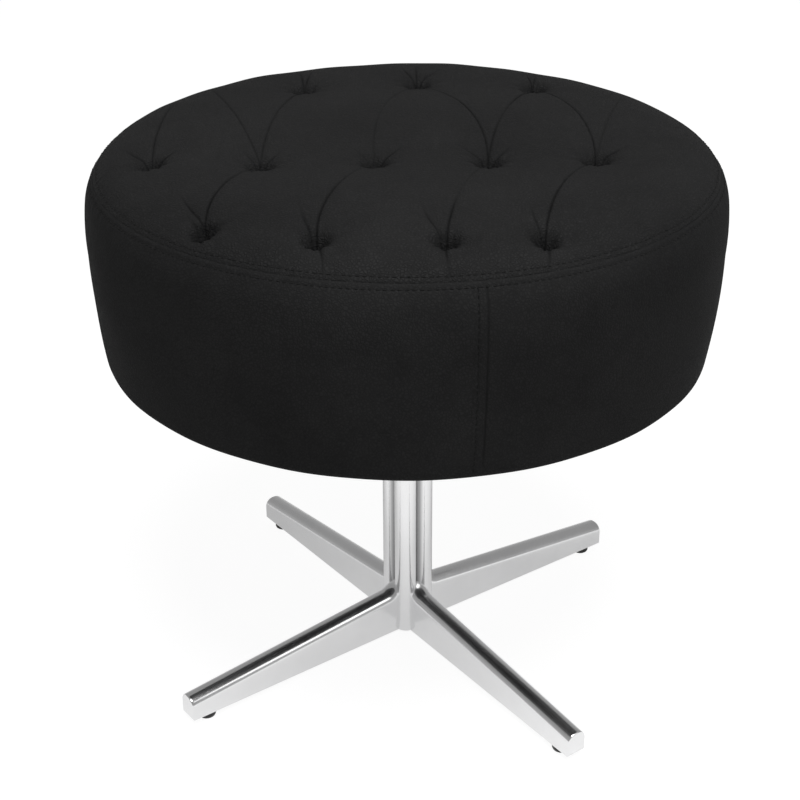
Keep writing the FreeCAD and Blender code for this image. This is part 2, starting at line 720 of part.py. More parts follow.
def staple():
    """A wire staple through the dust cover and the hem into the board, along +X."""
    back = BOARD_Z - COVER - DUST_COVER - STAPLE_WIRE
    near = STAPLE_CIRCLE - STAPLE_WIRE / 2
    bridge = Part.makeBox(STAPLE_WIRE, STAPLE_WIDTH, STAPLE_WIRE, Vector(near, -STAPLE_WIDTH / 2, back))
    legs = [Part.makeBox(STAPLE_WIRE, STAPLE_WIRE, STAPLE_LEG, Vector(near, side, back))
            for side in (-STAPLE_WIDTH / 2, STAPLE_WIDTH / 2 - STAPLE_WIRE)]
    return bridge.fuse(legs).removeSplitter()


def tuft_button(x, y):
    """A covered button at the foot of a tuft."""
    radius = TUFT_RADIUS - BUTTON_GAP
    peak = (0, BUTTON_HEIGHT)
    edge = (radius, BUTTON_EDGE)
    dome, _ = bowed(peak, edge, 0)
    button = turned((0, 0), ((radius, 0),), (edge,), (dome, peak), ((0, 0),))
    button.translate(Vector(x, y, TUFT_FLOOR_Z))
    return button


def tuft_twine(x, y):
    """The twine that pulls a button down, with its knot under the anchor."""
    bottom = TOP_BOARD_Z - ANCHOR_THICKNESS - KNOT_RADIUS
    line = disc(TWINE_RADIUS, TUFT_FLOOR_Z - bottom, x, y, bottom)
    return line.fuse(Part.makeSphere(KNOT_RADIUS, Vector(x, y, bottom)))


def twine_anchor(x, y):
    """A drilled disc under the upper board that the knot bears on."""
    bottom = TOP_BOARD_Z - ANCHOR_THICKNESS
    anchor = disc(ANCHOR_RADIUS, ANCHOR_THICKNESS, x, y, bottom)
    return anchor.cut(disc(TWINE_RADIUS + SLIDE_GAP, ANCHOR_THICKNESS, x, y, bottom))


def build_upholstery():
    """Writes the padding, the covers and the tufting."""
    save("side_foam", side_foam())
    save("top_foam", top_foam())
    save("side_band", side_band())
    save("top_cover", top_cover())
    save("dust_cover", dust_cover())
    save("staples", *pattern(staple(), STAPLE_COUNT, 180.0 / STAPLE_COUNT))
    save("tuft_buttons", *[tuft_button(x, y) for x, y in TUFTS.values()])
    save("tuft_twines", *[tuft_twine(x, y) for x, y in TUFTS.values()])
    save("twine_anchors", *[twine_anchor(x, y) for x, y in TUFTS.values()])


os.makedirs("parts", exist_ok=True)
build_base()
build_swivel()
build_frame()
build_upholstery()
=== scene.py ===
import math

import bpy
import numpy as np
from mathutils import Matrix, Vector


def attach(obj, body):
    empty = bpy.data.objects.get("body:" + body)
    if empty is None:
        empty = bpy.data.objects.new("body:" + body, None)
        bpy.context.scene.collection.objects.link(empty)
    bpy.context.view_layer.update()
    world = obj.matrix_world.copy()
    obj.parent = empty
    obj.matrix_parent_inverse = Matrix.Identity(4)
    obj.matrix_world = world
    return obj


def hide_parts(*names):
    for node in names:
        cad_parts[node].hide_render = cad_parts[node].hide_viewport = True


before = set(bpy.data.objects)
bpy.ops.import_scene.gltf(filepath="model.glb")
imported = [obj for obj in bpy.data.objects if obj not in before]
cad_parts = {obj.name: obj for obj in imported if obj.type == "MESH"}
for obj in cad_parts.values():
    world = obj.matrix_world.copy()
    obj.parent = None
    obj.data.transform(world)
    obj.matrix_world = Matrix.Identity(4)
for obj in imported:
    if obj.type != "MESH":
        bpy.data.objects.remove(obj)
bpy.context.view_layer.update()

# All sizes are in millimetres and degrees, and a mesh is scaled to metres when it is made
MM = 0.001

# Legs, glides and column
LEG_COUNT = 4
LEG_TURN = 36.5
LEG_TIP = 236.0
LEG_HALF = 9.5
LEG_WALL = 2.2
RIDGE_ROUND = 8.5
RIDGE_TIP_Z = 28.0
RIDGE_ROOT_Z = 50.0
UNDERSIDE_TIP_Z = 7.0
UNDERSIDE_ROOT_Z = 9.0
ROOT_REACH = 22.5
SWEEP_RADIUS = 16.0
SWEEP_START = 13.5
TIP_EDGE = 0.9
LEG_RINGS = (45.0, 90.0, 140.0, 190.0, 225.0)
SWEEP_RINGS = 15
RIDGE_POINTS = 11
LEG_SHARP = 35.0
LEG_SPACING = 360.0 / LEG_COUNT
GLIDE_REACH = 218.0
GLIDE_SHARP = 50.0
GLIDE_SECTION = (
    (0.0, 0.0), (5.2, 0.0), (6.6, 0.35), (7.5, 1.1), (8.0, 2.2), (8.0, 5.6), (7.8, 6.4), (7.2, 6.95),
    (3.0, 6.95), (3.0, 15.4), (2.5, 15.95), (0.0, 15.95))
LOBE_RADIUS = 10.2
LOBE_OFFSET = 12.3
GROOVE_FILLET = 1.5
COLUMN_BORE = 12.15
COLUMN_WALL = 1.8
COLUMN_EDGE = 0.5
COLUMN_SHARP = 40.0
COLUMN_END = 40.0
COLUMN_FOOT_Z = 10.0
COLUMN_TOP_Z = 272.0
# GROOVE_SHADE is painted shade in the column's grooves
GROOVE_SHADE = 0.75
GROOVE_SHADE_REACH = (0.8, 5.0)

# Side cover, as radius and height along its section from the hem up to the seam
HEM = (205.0, 305.2)
CORNER = (244.0, 305.2)
LOW = (253.0, 313.4)
MIDDLE = (258.5, 362.4)
WIDEST = (259.5, 401.4)
BULGE = (260.1, 420.0)
ROLL_START = (259.2, 438.4)
ROLL = (256.4, 451.0)
SEAM = (251.3, 460.7)
SIDE_BACK = 240.5
HEM_THICKNESS = 1.1
UPRIGHT_SEAM = 282.2
UPRIGHT_RADIUS = 257.0
UPRIGHT_SPREAD = 3.0
UPRIGHT_COLUMNS = 72
SIDE_COLUMNS = 800
ARC_MIDDLE = 0.293
SECTION_STEP = 0.4

# Relief of the side cover, where a ring is a half width and a place
SIDE_SLACK = 0.55
SIDE_RIPPLE = 0.35
UPRIGHT_GROOVE = 0.6
# UPRIGHT_TUCK sets painted shade, with a duller gloss, along the upright seam's fold
UPRIGHT_TUCK = 0.5
UPRIGHT_WIDTH = 0.8
LAP_HEIGHT = 0.3
LAP_RISE = (-10.5, -8.0)
LAP_FALL = (-1.4, -0.3)
BESIDE_HEIGHT = 0.2
BESIDE_RING = (2.2, 3.0)
LAP_STITCH = 6.4
LAP_STITCH_GROOVE = 0.3
LAP_GATHER = 0.12
LAP_GATHER_RING = (4.5, -6.0)

# Tufted top
CROWN_Z = 482.0
CROWN_RADIUS = 190.0
SHOULDER = (233.0, 474.4)
TUFT_FLOOR_Z = 455.0
TUFT_FLOOR = 3.8
TUFT_FLARE = 3.8
TUFT_FUNNEL = 10.5
TOP_BACK = 239.6
TOP_UNDERSIDE_Z = 408.5
TOP_BACK_EDGE = 1.2
TOP_BACK_INNER = 130.0
TOP_COLUMNS = 560
TOP_ROWS = 310
RIM_CROWDING = 0.05
SECTION_SAMPLES = 2000
PLEAT_POINTS = 70
LOOSE_PLEAT_POINTS = 50

# Relief of the tufted top, where a ring is a half width and a place
TUFT_SEED = 41
RIM_CALM = (2.0, 26.0)
FLARE_SHARE = 0.74
FLARE_FALL = -1.4
FUNNEL_SHARE = 0.26
FUNNEL_FALL = -1.6
# PIT_TUCK, GATHER_TUCK and CREASE_TUCK set painted shade, with a duller gloss, in the pits, between the
# gathers and along the creases
PIT_TUCK = 0.6
PIT_TUCK_PULL = (0.72, 1.0)
GATHER_HEIGHT = 0.75
GATHER_RING = (4.5, 9.0)
GATHER_TUCK = 0.6
GATHER_TUCK_DEPTH = (0.5, 1.7)
GATHER_TUCK_RING = (3.5, 7.5)
OUTER_GATHER = 0.3
OUTER_GATHER_RING = (7.0, 17.0)
PLEAT_REACH = 36.0
PLEAT_END = 6.0
VALLEY_WIDTH = 7.0
VALLEY_DEPTH = 0.6
CREASE_DEPTH = 1.7
CREASE_WIDTH = 0.85
CREASE_TUCK = 0.9
OVERLAP_HEIGHT = 0.6
OVERLAP_STEP = 3.0
OVERLAP_WIDTH = 4.0
PILLOW_HEIGHT = 1.4
PILLOW_LEVEL = 0.6
PILLOW_RISE = (16.0, 55.0)
BROAD_SLACK = 0.6
SMALL_SLACK = 0.35

# Cover blown up between its tufts and its seam
SWELL_COLUMNS = 110
SWELL_ROWS = 100
SWELL_FRAMES = 20
SWELL_LIMIT = 5.0
SWELL_HELD_RIM = (56.0, 20.0)
SWELL_HELD_TUFT = (10.0, 16.0)

# Seam between the top and the side
SEAM_GROOVE = 0.4
SEAM_GROOVE_WIDTH = 1.0
# SEAM_TUCK sets painted shade, with a duller gloss, along the seam
SEAM_TUCK = 0.25
SEAM_TUCK_WIDTH = 0.8
STITCH_GROOVE = 0.2
STITCH_GROOVE_WIDTH = 0.9
PUCKER_HEIGHT = 0.16
PUCKER_RING = (5.0, 6.5)
STITCH_INSET = 4.5
STITCH_PITCH = 5.0
STITCH_HALF = 1.9
STITCH_THICKNESS = 0.44
STITCH_ARCH = 0.34
STITCH_SINK = 0.16
STITCH_RINGS = 6
STITCH_SIDES = 6
RIM_LINE_POINTS = 900
UPRIGHT_LINE_POINTS = 200
UPRIGHT_LINE_ENDS = (14.0, 6.0)

# Covered buttons
BUTTON_SEED = 7
BUTTON_POINTS = 32
BUTTON_FOLDS = 8
BUTTON_FOLD = 0.012
BUTTON_FOLD_REACH = (5.0, 8.2)
BUTTON_SECTION = (
    (0.0, 0.2), (7.0, 0.2), (8.2, 0.9), (8.4, 2.0), (7.8, 3.1), (6.4, 4.4),
    (4.4, 5.35), (2.2, 5.85), (0.0, 6.0))

# Dust cover
DUST_INNER = 120.0
DUST_OUTER = 232.0
DUST_TOP_Z = 305.15
DUST_THICKNESS = 0.8
DUST_SAG = 3.0
DUST_GATHER = 0.7
DUST_GAP = 0.05
DUST_POINTS = 240
DUST_SLACK_RING = (34.0, 170.0)

# Finishes
PORE_SHARE = 0.35
SMUDGE_SCALE = 6.5
SMUDGE_SHARE = 0.4
# TUCK_SHADE, HOLLOW_SHADE and the deep tones set the painted shade in tucks, grain hollows and the column's
# grooves
TUCK_SHADE = 0.75
TUCK_DULLNESS = 0.25
HOLLOW_SHADE = 0.32
LEATHER_SHADE_TONE = (0.002, 0.002, 0.0022)
METAL_SHADE_TONE = (0.10, 0.10, 0.102)
WHITE = (1.0, 1.0, 1.0, 1.0)
FLOOR_HALF = 6000.0

# Tufts by row, as places on the top seen from above
TUFTS = {
    "front_1": (-144.0, -174.0),
    "front_2": (-63.0, -207.0),
    "front_3": (27.0, -211.0),
    "front_4": (96.0, -203.0),
    "middle_1": (-198.0, -54.0),
    "middle_2": (-113.0, -60.0),
    "middle_3": (-25.0, -54.0),
    "middle_4": (63.0, -54.0),
    "middle_5": (147.0, -49.0),
    "back_1": (-91.0, 142.0),
    "back_2": (9.0, 160.0),
    "back_3": (112.0, 146.0),
}

# How far the mouth of each row's pits is drawn forward from the buttons
TUFT_LEAN = {"front_1": 9.0, "front": 0.0, "middle": 4.0, "back": 7.0}

# Pleats from tuft to tuft: sideways bow, then how deep the fold is at its start, its middle and its end
PLEATS = (
    ("front_1", "middle_2", 7.0, 1.0, 0.8, 0.5),
    ("front_2", "middle_3", 10.0, 1.0, 0.8, 0.4),
    ("front_3", "middle_4", 6.0, 1.0, 0.2, 0.4),
    ("front_4", "middle_5", 9.0, 1.0, 0.85, 0.5),
    ("middle_2", "back_1", 7.0, 0.7, 0.55, 0.6),
    ("middle_3", "back_2", 13.0, 0.5, 0.25, 0.35),
    ("middle_4", "back_2", -16.0, 0.9, 1.0, 1.0),
    ("middle_4", "back_3", 7.5, 0.8, 0.4, 0.8),
    ("middle_5", "back_3", -13.0, 0.9, 0.9, 1.0),
)

# Pleats that run out from a tuft: direction, length, bow, and depth at the start and the end
LOOSE_PLEATS = (
    ("front_1", 116.0, 56.0, 2.0, 0.9, 0.1),
    ("front_1", 335.0, 26.0, 2.0, 0.8, 0.0),
    ("front_1", 215.0, 20.0, 0.0, 0.6, 0.0),
    ("front_2", 104.0, 62.0, 3.0, 0.8, 0.1),
    ("front_2", 276.0, 44.0, 2.0, 0.8, 0.3),
    ("front_2", 325.0, 22.0, 2.0, 0.7, 0.0),
    ("front_3", 105.0, 68.0, 4.0, 0.9, 0.1),
    ("front_3", 275.0, 46.0, -2.0, 0.9, 0.3),
    ("front_3", 203.0, 26.0, -2.0, 0.9, 0.0),
    ("front_3", 325.0, 24.0, 2.0, 0.8, 0.0),
    ("front_4", 98.0, 56.0, 3.0, 0.8, 0.1),
    ("front_4", 271.0, 44.0, 2.0, 0.8, 0.3),
    ("front_4", 325.0, 24.0, 2.0, 0.9, 0.0),
    ("middle_1", 128.0, 48.0, 3.0, 1.0, 0.1),
    ("middle_1", 48.0, 32.0, -2.0, 1.0, 0.0),
    ("middle_1", 91.0, 160.0, 3.0, 0.8, 0.35),
    ("middle_2", 122.0, 34.0, 2.0, 0.8, 0.0),
    ("middle_2", 60.0, 34.0, -2.0, 0.8, 0.0),
    ("middle_2", 107.0, 224.0, -3.0, 0.7, 0.35),
    ("middle_3", 50.0, 40.0, -2.0, 0.9, 0.0),
    ("middle_3", 125.0, 34.0, 2.0, 0.6, 0.0),
    ("middle_3", 232.0, 26.0, 2.0, 0.7, 0.0),
    ("middle_4", 128.0, 38.0, 2.0, 0.9, 0.0),
    ("middle_4", 55.0, 36.0, -2.0, 0.8, 0.0),
    ("middle_4", 236.0, 28.0, 2.0, 0.6, 0.0),
    ("middle_5", 40.0, 42.0, -2.0, 0.9, 0.0),
    ("middle_5", 76.0, 160.0, 2.0, 0.5, 0.3),
    ("middle_5", 230.0, 28.0, 2.0, 0.6, 0.0),
    ("back_1", 98.0, 54.0, 0.0, 0.9, 0.05),
    ("back_1", 84.0, 54.0, 0.0, 0.8, 0.05),
    ("back_2", 108.0, 56.0, 2.0, 0.8, 0.1),
    ("back_2", 91.0, 56.0, 0.0, 0.8, 0.1),
    ("back_2", 58.0, 44.0, -2.0, 0.7, 0.0),
    ("back_3", 96.0, 46.0, 0.0, 0.9, 0.05),
    ("back_3", 82.0, 46.0, 0.0, 0.8, 0.05),
)


# Curves of the sections

def three_point_arc(start, middle, end, count):
    """Points evenly spaced along the arc through three points, with the first left out."""
    ax, ay = start
    bx, by = middle
    cx, cy = end
    d = 2 * (ax * (by - cy) + bx * (cy - ay) + cx * (ay - by))
    a, b, c = (x ** 2 + y ** 2 for x, y in (start, middle, end))
    ux = (a * (by - cy) + b * (cy - ay) + c * (ay - by)) / d
    uy = (a * (cx - bx) + b * (ax - cx) + c * (bx - ax)) / d
    radius = math.hypot(ax - ux, ay - uy)
    first = math.atan2(ay - uy, ax - ux)
    turn = math.atan2(cy - uy, cx - ux) - first
    turn = (turn + math.pi) % (2 * math.pi) - math.pi
    angles = first + turn * np.arange(1, count + 1) / count
    return [(ux + radius * math.cos(a), uy + radius * math.sin(a)) for a in angles]


def even_line(points, places):
    """Points of a line at given distances along it, the line's outward normals there, and its length."""
    line = np.array(points, float)
    steps = np.hypot(*np.diff(line, axis=0).T)
    along = np.concatenate([[0.0], np.cumsum(steps)])

    def spots(where):
        where = np.clip(where, 0, along[-1])
        return np.stack([np.interp(where, along, line[:, k]) for k in (0, 1)], axis=1)

    way = spots(places + SECTION_STEP) - spots(places - SECTION_STEP)
    way /= np.maximum(np.hypot(way[:, 0], way[:, 1]), 1e-9)[:, None]
    return spots(places), np.stack([way[:, 1], -way[:, 0]], axis=1), along[-1]


def smooth(value, low, high):
    """0 below low, 1 above high, with an eased rise between."""
    t = np.clip((value - low) / (high - low), 0.0, 1.0)
    return t * t * (3 - 2 * t)


def bell(value, width, place=0.0):
    """A smooth hump of height 1 with a half width and a place."""
    return np.exp(-((value - place) / width) ** 2)


def around(radius, azimuth, height):
    """Points at a radius, a direction and a height."""
    height = np.broadcast_to(height, np.shape(azimuth))
    return np.stack([radius * np.cos(azimuth), radius * np.sin(azimuth), height], axis=1)


def full_turn(count):
    """Directions evenly spaced round the axis."""
    return np.linspace(0, 2 * math.pi, count, endpoint=False)


# Untufted top, as a section from the middle out to the seam

SHOULDER_SLOPE = 2 * math.atan2(CROWN_Z - SHOULDER[1], SHOULDER[0] - CROWN_RADIUS)
SEAM_SLOPE = 2 * math.atan2(SHOULDER[1] - SEAM[1], SEAM[0] - SHOULDER[0]) - SHOULDER_SLOPE
CROWN_ARC = (SHOULDER[0] - CROWN_RADIUS) / math.sin(SHOULDER_SLOPE)
ROLL_CHORD = math.hypot(SEAM[0] - SHOULDER[0], SHOULDER[1] - SEAM[1])
ROLL_ARC = ROLL_CHORD / (2 * math.sin((SEAM_SLOPE - SHOULDER_SLOPE) / 2))
CROWN_ARC_END = CROWN_RADIUS + CROWN_ARC * SHOULDER_SLOPE
TOP_LENGTH = CROWN_ARC_END + ROLL_ARC * (SEAM_SLOPE - SHOULDER_SLOPE)


def crown_section(along):
    """Radius, height and slope of the untufted top at a distance along its section from the middle."""
    upper = np.clip(along - CROWN_RADIUS, 0, CROWN_ARC_END - CROWN_RADIUS) / CROWN_ARC
    lower = SHOULDER_SLOPE + np.clip(along - CROWN_ARC_END, 0, None) / ROLL_ARC
    radius = np.minimum(along, CROWN_RADIUS) + CROWN_ARC * np.sin(upper)
    radius = radius + ROLL_ARC * (np.sin(lower) - math.sin(SHOULDER_SLOPE))
    height = CROWN_Z - CROWN_ARC * (1 - np.cos(upper)) - ROLL_ARC * (math.cos(SHOULDER_SLOPE) - np.cos(lower))
    slope = np.where(along > CROWN_ARC_END, lower, upper)
    return radius, height, slope


# Tufts and pleats

def flattened(x, y):
    """A place on the top as it lies when the cover is laid out flat, and its height there."""
    out = math.hypot(x, y)
    along = np.linspace(0, TOP_LENGTH, SECTION_SAMPLES)
    radius, height, _ = crown_section(along)
    share = float(np.interp(out, radius, along)) / max(out, 1e-6)
    return x * share, y * share, float(np.interp(out, radius, height))


FLAT_TUFTS = {name: flattened(x, y) for name, (x, y) in TUFTS.items()}


def pleat_line(start, end, bow, count):
    """A bowed line between two places on the flat cover."""
    start = np.array(start, float)
    end = np.array(end, float)
    across = np.array([start[1] - end[1], end[0] - start[0]])
    across /= np.hypot(*across)
    control = (start + end) / 2 + across * bow * 2
    t = np.linspace(0, 1, count)[:, None]
    return (1 - t) ** 2 * start + 2 * t * (1 - t) * control + t ** 2 * end


def all_pleats():
    """Every pleat as its line on the flat cover and the depth of its fold along it."""
    pleats = []
    for first, last, bow, at_start, at_middle, at_end in PLEATS:
        line = pleat_line(FLAT_TUFTS[first][:2], FLAT_TUFTS[last][:2], bow, PLEAT_POINTS)
        depth = np.interp(np.linspace(0, 1, PLEAT_POINTS), [0, 0.25, 0.5, 0.75, 1],
                          [at_start, at_start, at_middle, at_end, at_end])
        pleats.append((line, depth))
    for first, azimuth, length, bow, at_start, at_end in LOOSE_PLEATS:
        x, y = FLAT_TUFTS[first][:2]
        way = math.radians(azimuth)
        end = (x + length * math.cos(way), y + length * math.sin(way))
        line = pleat_line((x, y), end, bow, LOOSE_PLEAT_POINTS)
        depth = np.interp(np.linspace(0, 1, LOOSE_PLEAT_POINTS), [0, 0.4, 0.85, 1],
                          [at_start, at_start, at_end, 0.0])
        pleats.append((line, depth))
    return pleats


ALL_PLEATS = all_pleats()


def nearest_on(line, depth, x, y):
    """Signed distance from places to a line, the fold's depth there, and how far past its ends they lie."""
    spots = np.stack([x, y], axis=1)
    gaps = ((spots[:, None, :] - line[None, :, :]) ** 2).sum(axis=2)
    index = gaps.argmin(axis=1)
    tangent = np.gradient(line, axis=0)
    tangent /= np.hypot(tangent[:, 0], tangent[:, 1])[:, None]
    apart = spots - line[index]
    along = (apart * tangent[index]).sum(axis=1)
    side = tangent[index, 0] * apart[:, 1] - tangent[index, 1] * apart[:, 0]
    at_end = (index == 0) | (index == len(line) - 1)
    past = np.where(at_end, np.abs(along), 0.0)
    return side, depth[index], past


def tufted_form(x, y, fine):
    """How far the cover is drawn down at the tufts, how far it stands off, and its painted shade where it is
    tucked in.
    The places are on the flat cover. Fine adds the folds' sharp lines and the gathers, with their painted
    shade."""
    dig = np.zeros_like(x)
    lift = np.zeros_like(x)
    tuck_shade = np.zeros_like(x)
    out = np.hypot(x, y)
    inside = smooth(TOP_LENGTH - out, *RIM_CALM)
    clear = np.full_like(x, np.inf)
    rng = np.random.default_rng(TUFT_SEED)
    for name, (tx, ty, tz) in FLAT_TUFTS.items():
        ty = ty - TUFT_LEAN.get(name, TUFT_LEAN[name.split("_")[0]])
        away = np.hypot(x - tx, y - ty)
        turn = np.arctan2(y - ty, x - tx)
        clear = np.minimum(clear, away)
        pull = FLARE_SHARE * (1 + (np.clip(away - TUFT_FLOOR, 0, None) / TUFT_FLARE) ** 2) ** FLARE_FALL
        pull += FUNNEL_SHARE * (1 + (away / TUFT_FUNNEL) ** 2) ** FUNNEL_FALL
        dig += (tz - TUFT_FLOOR_Z) * pull
        # The pits get painted shade where the cover is drawn down deepest
        tuck_shade = np.maximum(tuck_shade, PIT_TUCK * smooth(pull, *PIT_TUCK_PULL))
        phases = rng.uniform(0, 2 * math.pi, 6)
        if fine:
            wobble = 0.5 * np.sin(3 * turn + phases[0]) + 0.4 * np.sin(5 * turn + phases[1])
            folds = np.sin(13 * turn + wobble + phases[2]) + 0.6 * np.sin(8 * turn - wobble + phases[3])
            folds += 0.5 * np.sin(19 * turn + phases[4])
            lift += GATHER_HEIGHT * folds * bell(away, *GATHER_RING)
            lift += OUTER_GATHER * np.sin(9 * turn + phases[5]) * bell(away, *OUTER_GATHER_RING)
            # Painted shade between the gathers round each pit
            dark = GATHER_TUCK * smooth(-folds, *GATHER_TUCK_DEPTH)
            tuck_shade = np.maximum(tuck_shade, dark * bell(away, *GATHER_TUCK_RING))
    valley = np.zeros_like(x)
    for line, fold in ALL_PLEATS:
        low = line.min(axis=0) - PLEAT_REACH
        high = line.max(axis=0) + PLEAT_REACH
        near = np.flatnonzero((x > low[0]) & (x < high[0]) & (y > low[1]) & (y < high[1]))
        side, depth, past = nearest_on(line, fold, x[near], y[near])
        depth = depth * bell(past, PLEAT_END)
        valley[near] = np.maximum(valley[near], depth * bell(side, VALLEY_WIDTH))
        if fine:
            lift[near] -= CREASE_DEPTH * depth * np.exp(-np.abs(side) / CREASE_WIDTH)
            lift[near] += OVERLAP_HEIGHT * depth * (side / OVERLAP_STEP) * bell(side, OVERLAP_WIDTH)
            # Painted shade along each crease
            tuck_shade[near] = np.maximum(tuck_shade[near], depth * bell(side, CREASE_TUCK))
    lift -= VALLEY_DEPTH * valley
    lift += PILLOW_HEIGHT * (smooth(clear, *PILLOW_RISE) - PILLOW_LEVEL) * inside
    lift += BROAD_SLACK * np.sin(x / 31.0 + 0.7) * np.sin(y / 37.0 + 1.9) * inside
    lift += SMALL_SLACK * np.sin(x / 13.0 + y / 21.0) * np.sin(y / 15.0 - x / 29.0 + 0.4) * inside
    from_seam = TOP_LENGTH - out
    lift -= SEAM_GROOVE * bell(from_seam, SEAM_GROOVE_WIDTH)
    if fine:
        lift -= STITCH_GROOVE * bell(from_seam, STITCH_GROOVE_WIDTH, STITCH_INSET)
        azimuth = np.arctan2(y, x)
        pucker = np.sin(164 * azimuth + 2.0 * np.sin(9 * azimuth)) + 0.7 * np.sin(97 * azimuth + 1.3)
        lift += PUCKER_HEIGHT * pucker * bell(from_seam, *PUCKER_RING)
    # Painted shade along the seam
    tuck_shade = np.maximum(tuck_shade, SEAM_TUCK * bell(from_seam, SEAM_TUCK_WIDTH))
    return dig, lift, tuck_shade


def top_surface(x, y, fine=True):
    """Places of the flat cover as points of the tufted top, with the painted shade of each where it is tucked
    in.
    """
    along = np.hypot(x, y)
    azimuth = np.arctan2(y, x)
    radius, height, slope = crown_section(along)
    dig, lift, tuck_shade = tufted_form(x, y, fine)
    reach = radius + lift * np.sin(slope)
    return around(reach, azimuth, height + lift * np.cos(slope) - dig), tuck_shade


def disc_places(columns, rows):
    """A square net laid on the round cover, closer set near the rim, as flat places row by row."""
    u, v = np.meshgrid(np.linspace(-1, 1, columns + 1), np.linspace(-1, 1, rows + 1))
    px = u * np.sqrt(1 - v ** 2 / 2)
    py = v * np.sqrt(1 - u ** 2 / 2)
    out = np.hypot(px, py)
    wide = 1 + RIM_CROWDING
    share = np.where(out > 1e-9, (wide * out - RIM_CROWDING * out ** 12) / np.maximum(out, 1e-9), wide)
    return (px * share * TOP_LENGTH).ravel(), (py * share * TOP_LENGTH).ravel()


# Mesh helpers

def new_mesh(name, points, faces, sharp=None):
    """A smooth mesh from points in millimetres, with edges steeper than the sharp angle kept crisp."""
    mesh = bpy.data.meshes.new(name)
    mesh.from_pydata((np.asarray(points, float) * MM).tolist(), [], faces)
    mesh.polygons.foreach_set("use_smooth", [True] * len(mesh.polygons))
    if sharp is not None:
        mesh.set_sharp_from_angle(angle=math.radians(sharp))
    mesh.validate()
    mesh.update()
    return mesh


def new_object(name, data):
    """An object at the origin that shows a mesh, a lamp or a camera."""
    obj = bpy.data.objects.new(name, data)
    bpy.context.scene.collection.objects.link(obj)
    return obj


def net_faces(columns, rows, wrap_columns=False, wrap_rows=False, start=0):
    """Four-sided faces of a net whose points are stored row by row."""
    width = columns if wrap_columns else columns + 1
    height = rows if wrap_rows else rows + 1
    i, j = np.meshgrid(np.arange(columns), np.arange(rows))
    right = (i + 1) % width
    below = (j + 1) % height
    faces = np.stack([j * width + i, j * width + right, below * width + right, below * width + i], axis=-1)
    return (faces.reshape(-1, 4) + start).tolist()


def turned_mesh(name, section, count, sharp=None):
    """A solid of revolution whose section starts and ends on the axis."""
    rings = section[1:-1]
    azimuth = full_turn(count)
    ends = [np.array([(0.0, 0.0, section[k][1])]) for k in (0, -1)]
    points = np.concatenate(ends + [around(r, azimuth, z) for r, z in rings])
    faces = net_faces(count, len(rings) - 1, wrap_columns=True, start=2)
    last = 2 + count * (len(rings) - 1)
    for k in range(count):
        after = (k + 1) % count
        faces.append([0, 2 + after, 2 + k])
        faces.append([1, last + k, last + after])
    return new_mesh(name, points, faces, sharp)


def set_attribute(mesh, name, values):
    """Stores one number for each point of a mesh."""
    attribute = mesh.attributes.new(name, "FLOAT", "POINT")
    attribute.data.foreach_set("value", np.asarray(values, np.float32))


def set_material(obj, material):
    """Gives an object one material."""
    obj.data.materials.clear()
    obj.data.materials.append(material)


def place(obj, material, body, slot, *nodes):
    """Finishes a piece: its material, the body it rides on and the nodes it stands for; its slot is not used.
    """
    if material is not None:
        set_material(obj, material)
    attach(obj, body)
    if nodes:
        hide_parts(*nodes)
    return obj


# Shader groups and materials

class Nodes:
    """Adds the nodes of one tree and joins them."""

    def __init__(self, tree):
        self.tree = tree

    def feed(self, target, value):
        """Joins a socket to an input, or sets the input to a plain value."""
        if isinstance(value, bpy.types.NodeSocket):
            self.tree.links.new(value, target)
        else:
            target.default_value = value

    def add(self, kind, values=None, **settings):
        """A node with its settings and what feeds its inputs."""
        node = self.tree.nodes.new(kind)
        for key, value in settings.items():
            setattr(node, key, value)
        for key, value in (values or {}).items():
            self.feed(node.inputs[key], value)
        return node

    def calc(self, operation, *terms, **settings):
        """The result of a calculation with sockets and plain numbers."""
        node = self.add("ShaderNodeMath", dict(enumerate(terms)), operation=operation, **settings)
        return node.outputs[0]


def fresh_nodes(owner):
    """Clears the nodes of a material or a world."""
    owner.use_nodes = True
    owner.node_tree.nodes.clear()
    return Nodes(owner.node_tree)


def new_group(name, inputs, outputs):
    """A shader group that takes a vector and named values, and puts out named values."""
    tree = bpy.data.node_groups.new(name, "ShaderNodeTree")
    tree.interface.new_socket("Vector", in_out="INPUT", socket_type="NodeSocketVector")
    for label, value in inputs.items():
        socket = tree.interface.new_socket(label, in_out="INPUT", socket_type="NodeSocketFloat")
        socket.default_value = value
    for label in outputs:
        tree.interface.new_socket(label, in_out="OUTPUT", socket_type="NodeSocketFloat")
    n = Nodes(tree)
    return tree, n, n.add("NodeGroupInput").outputs


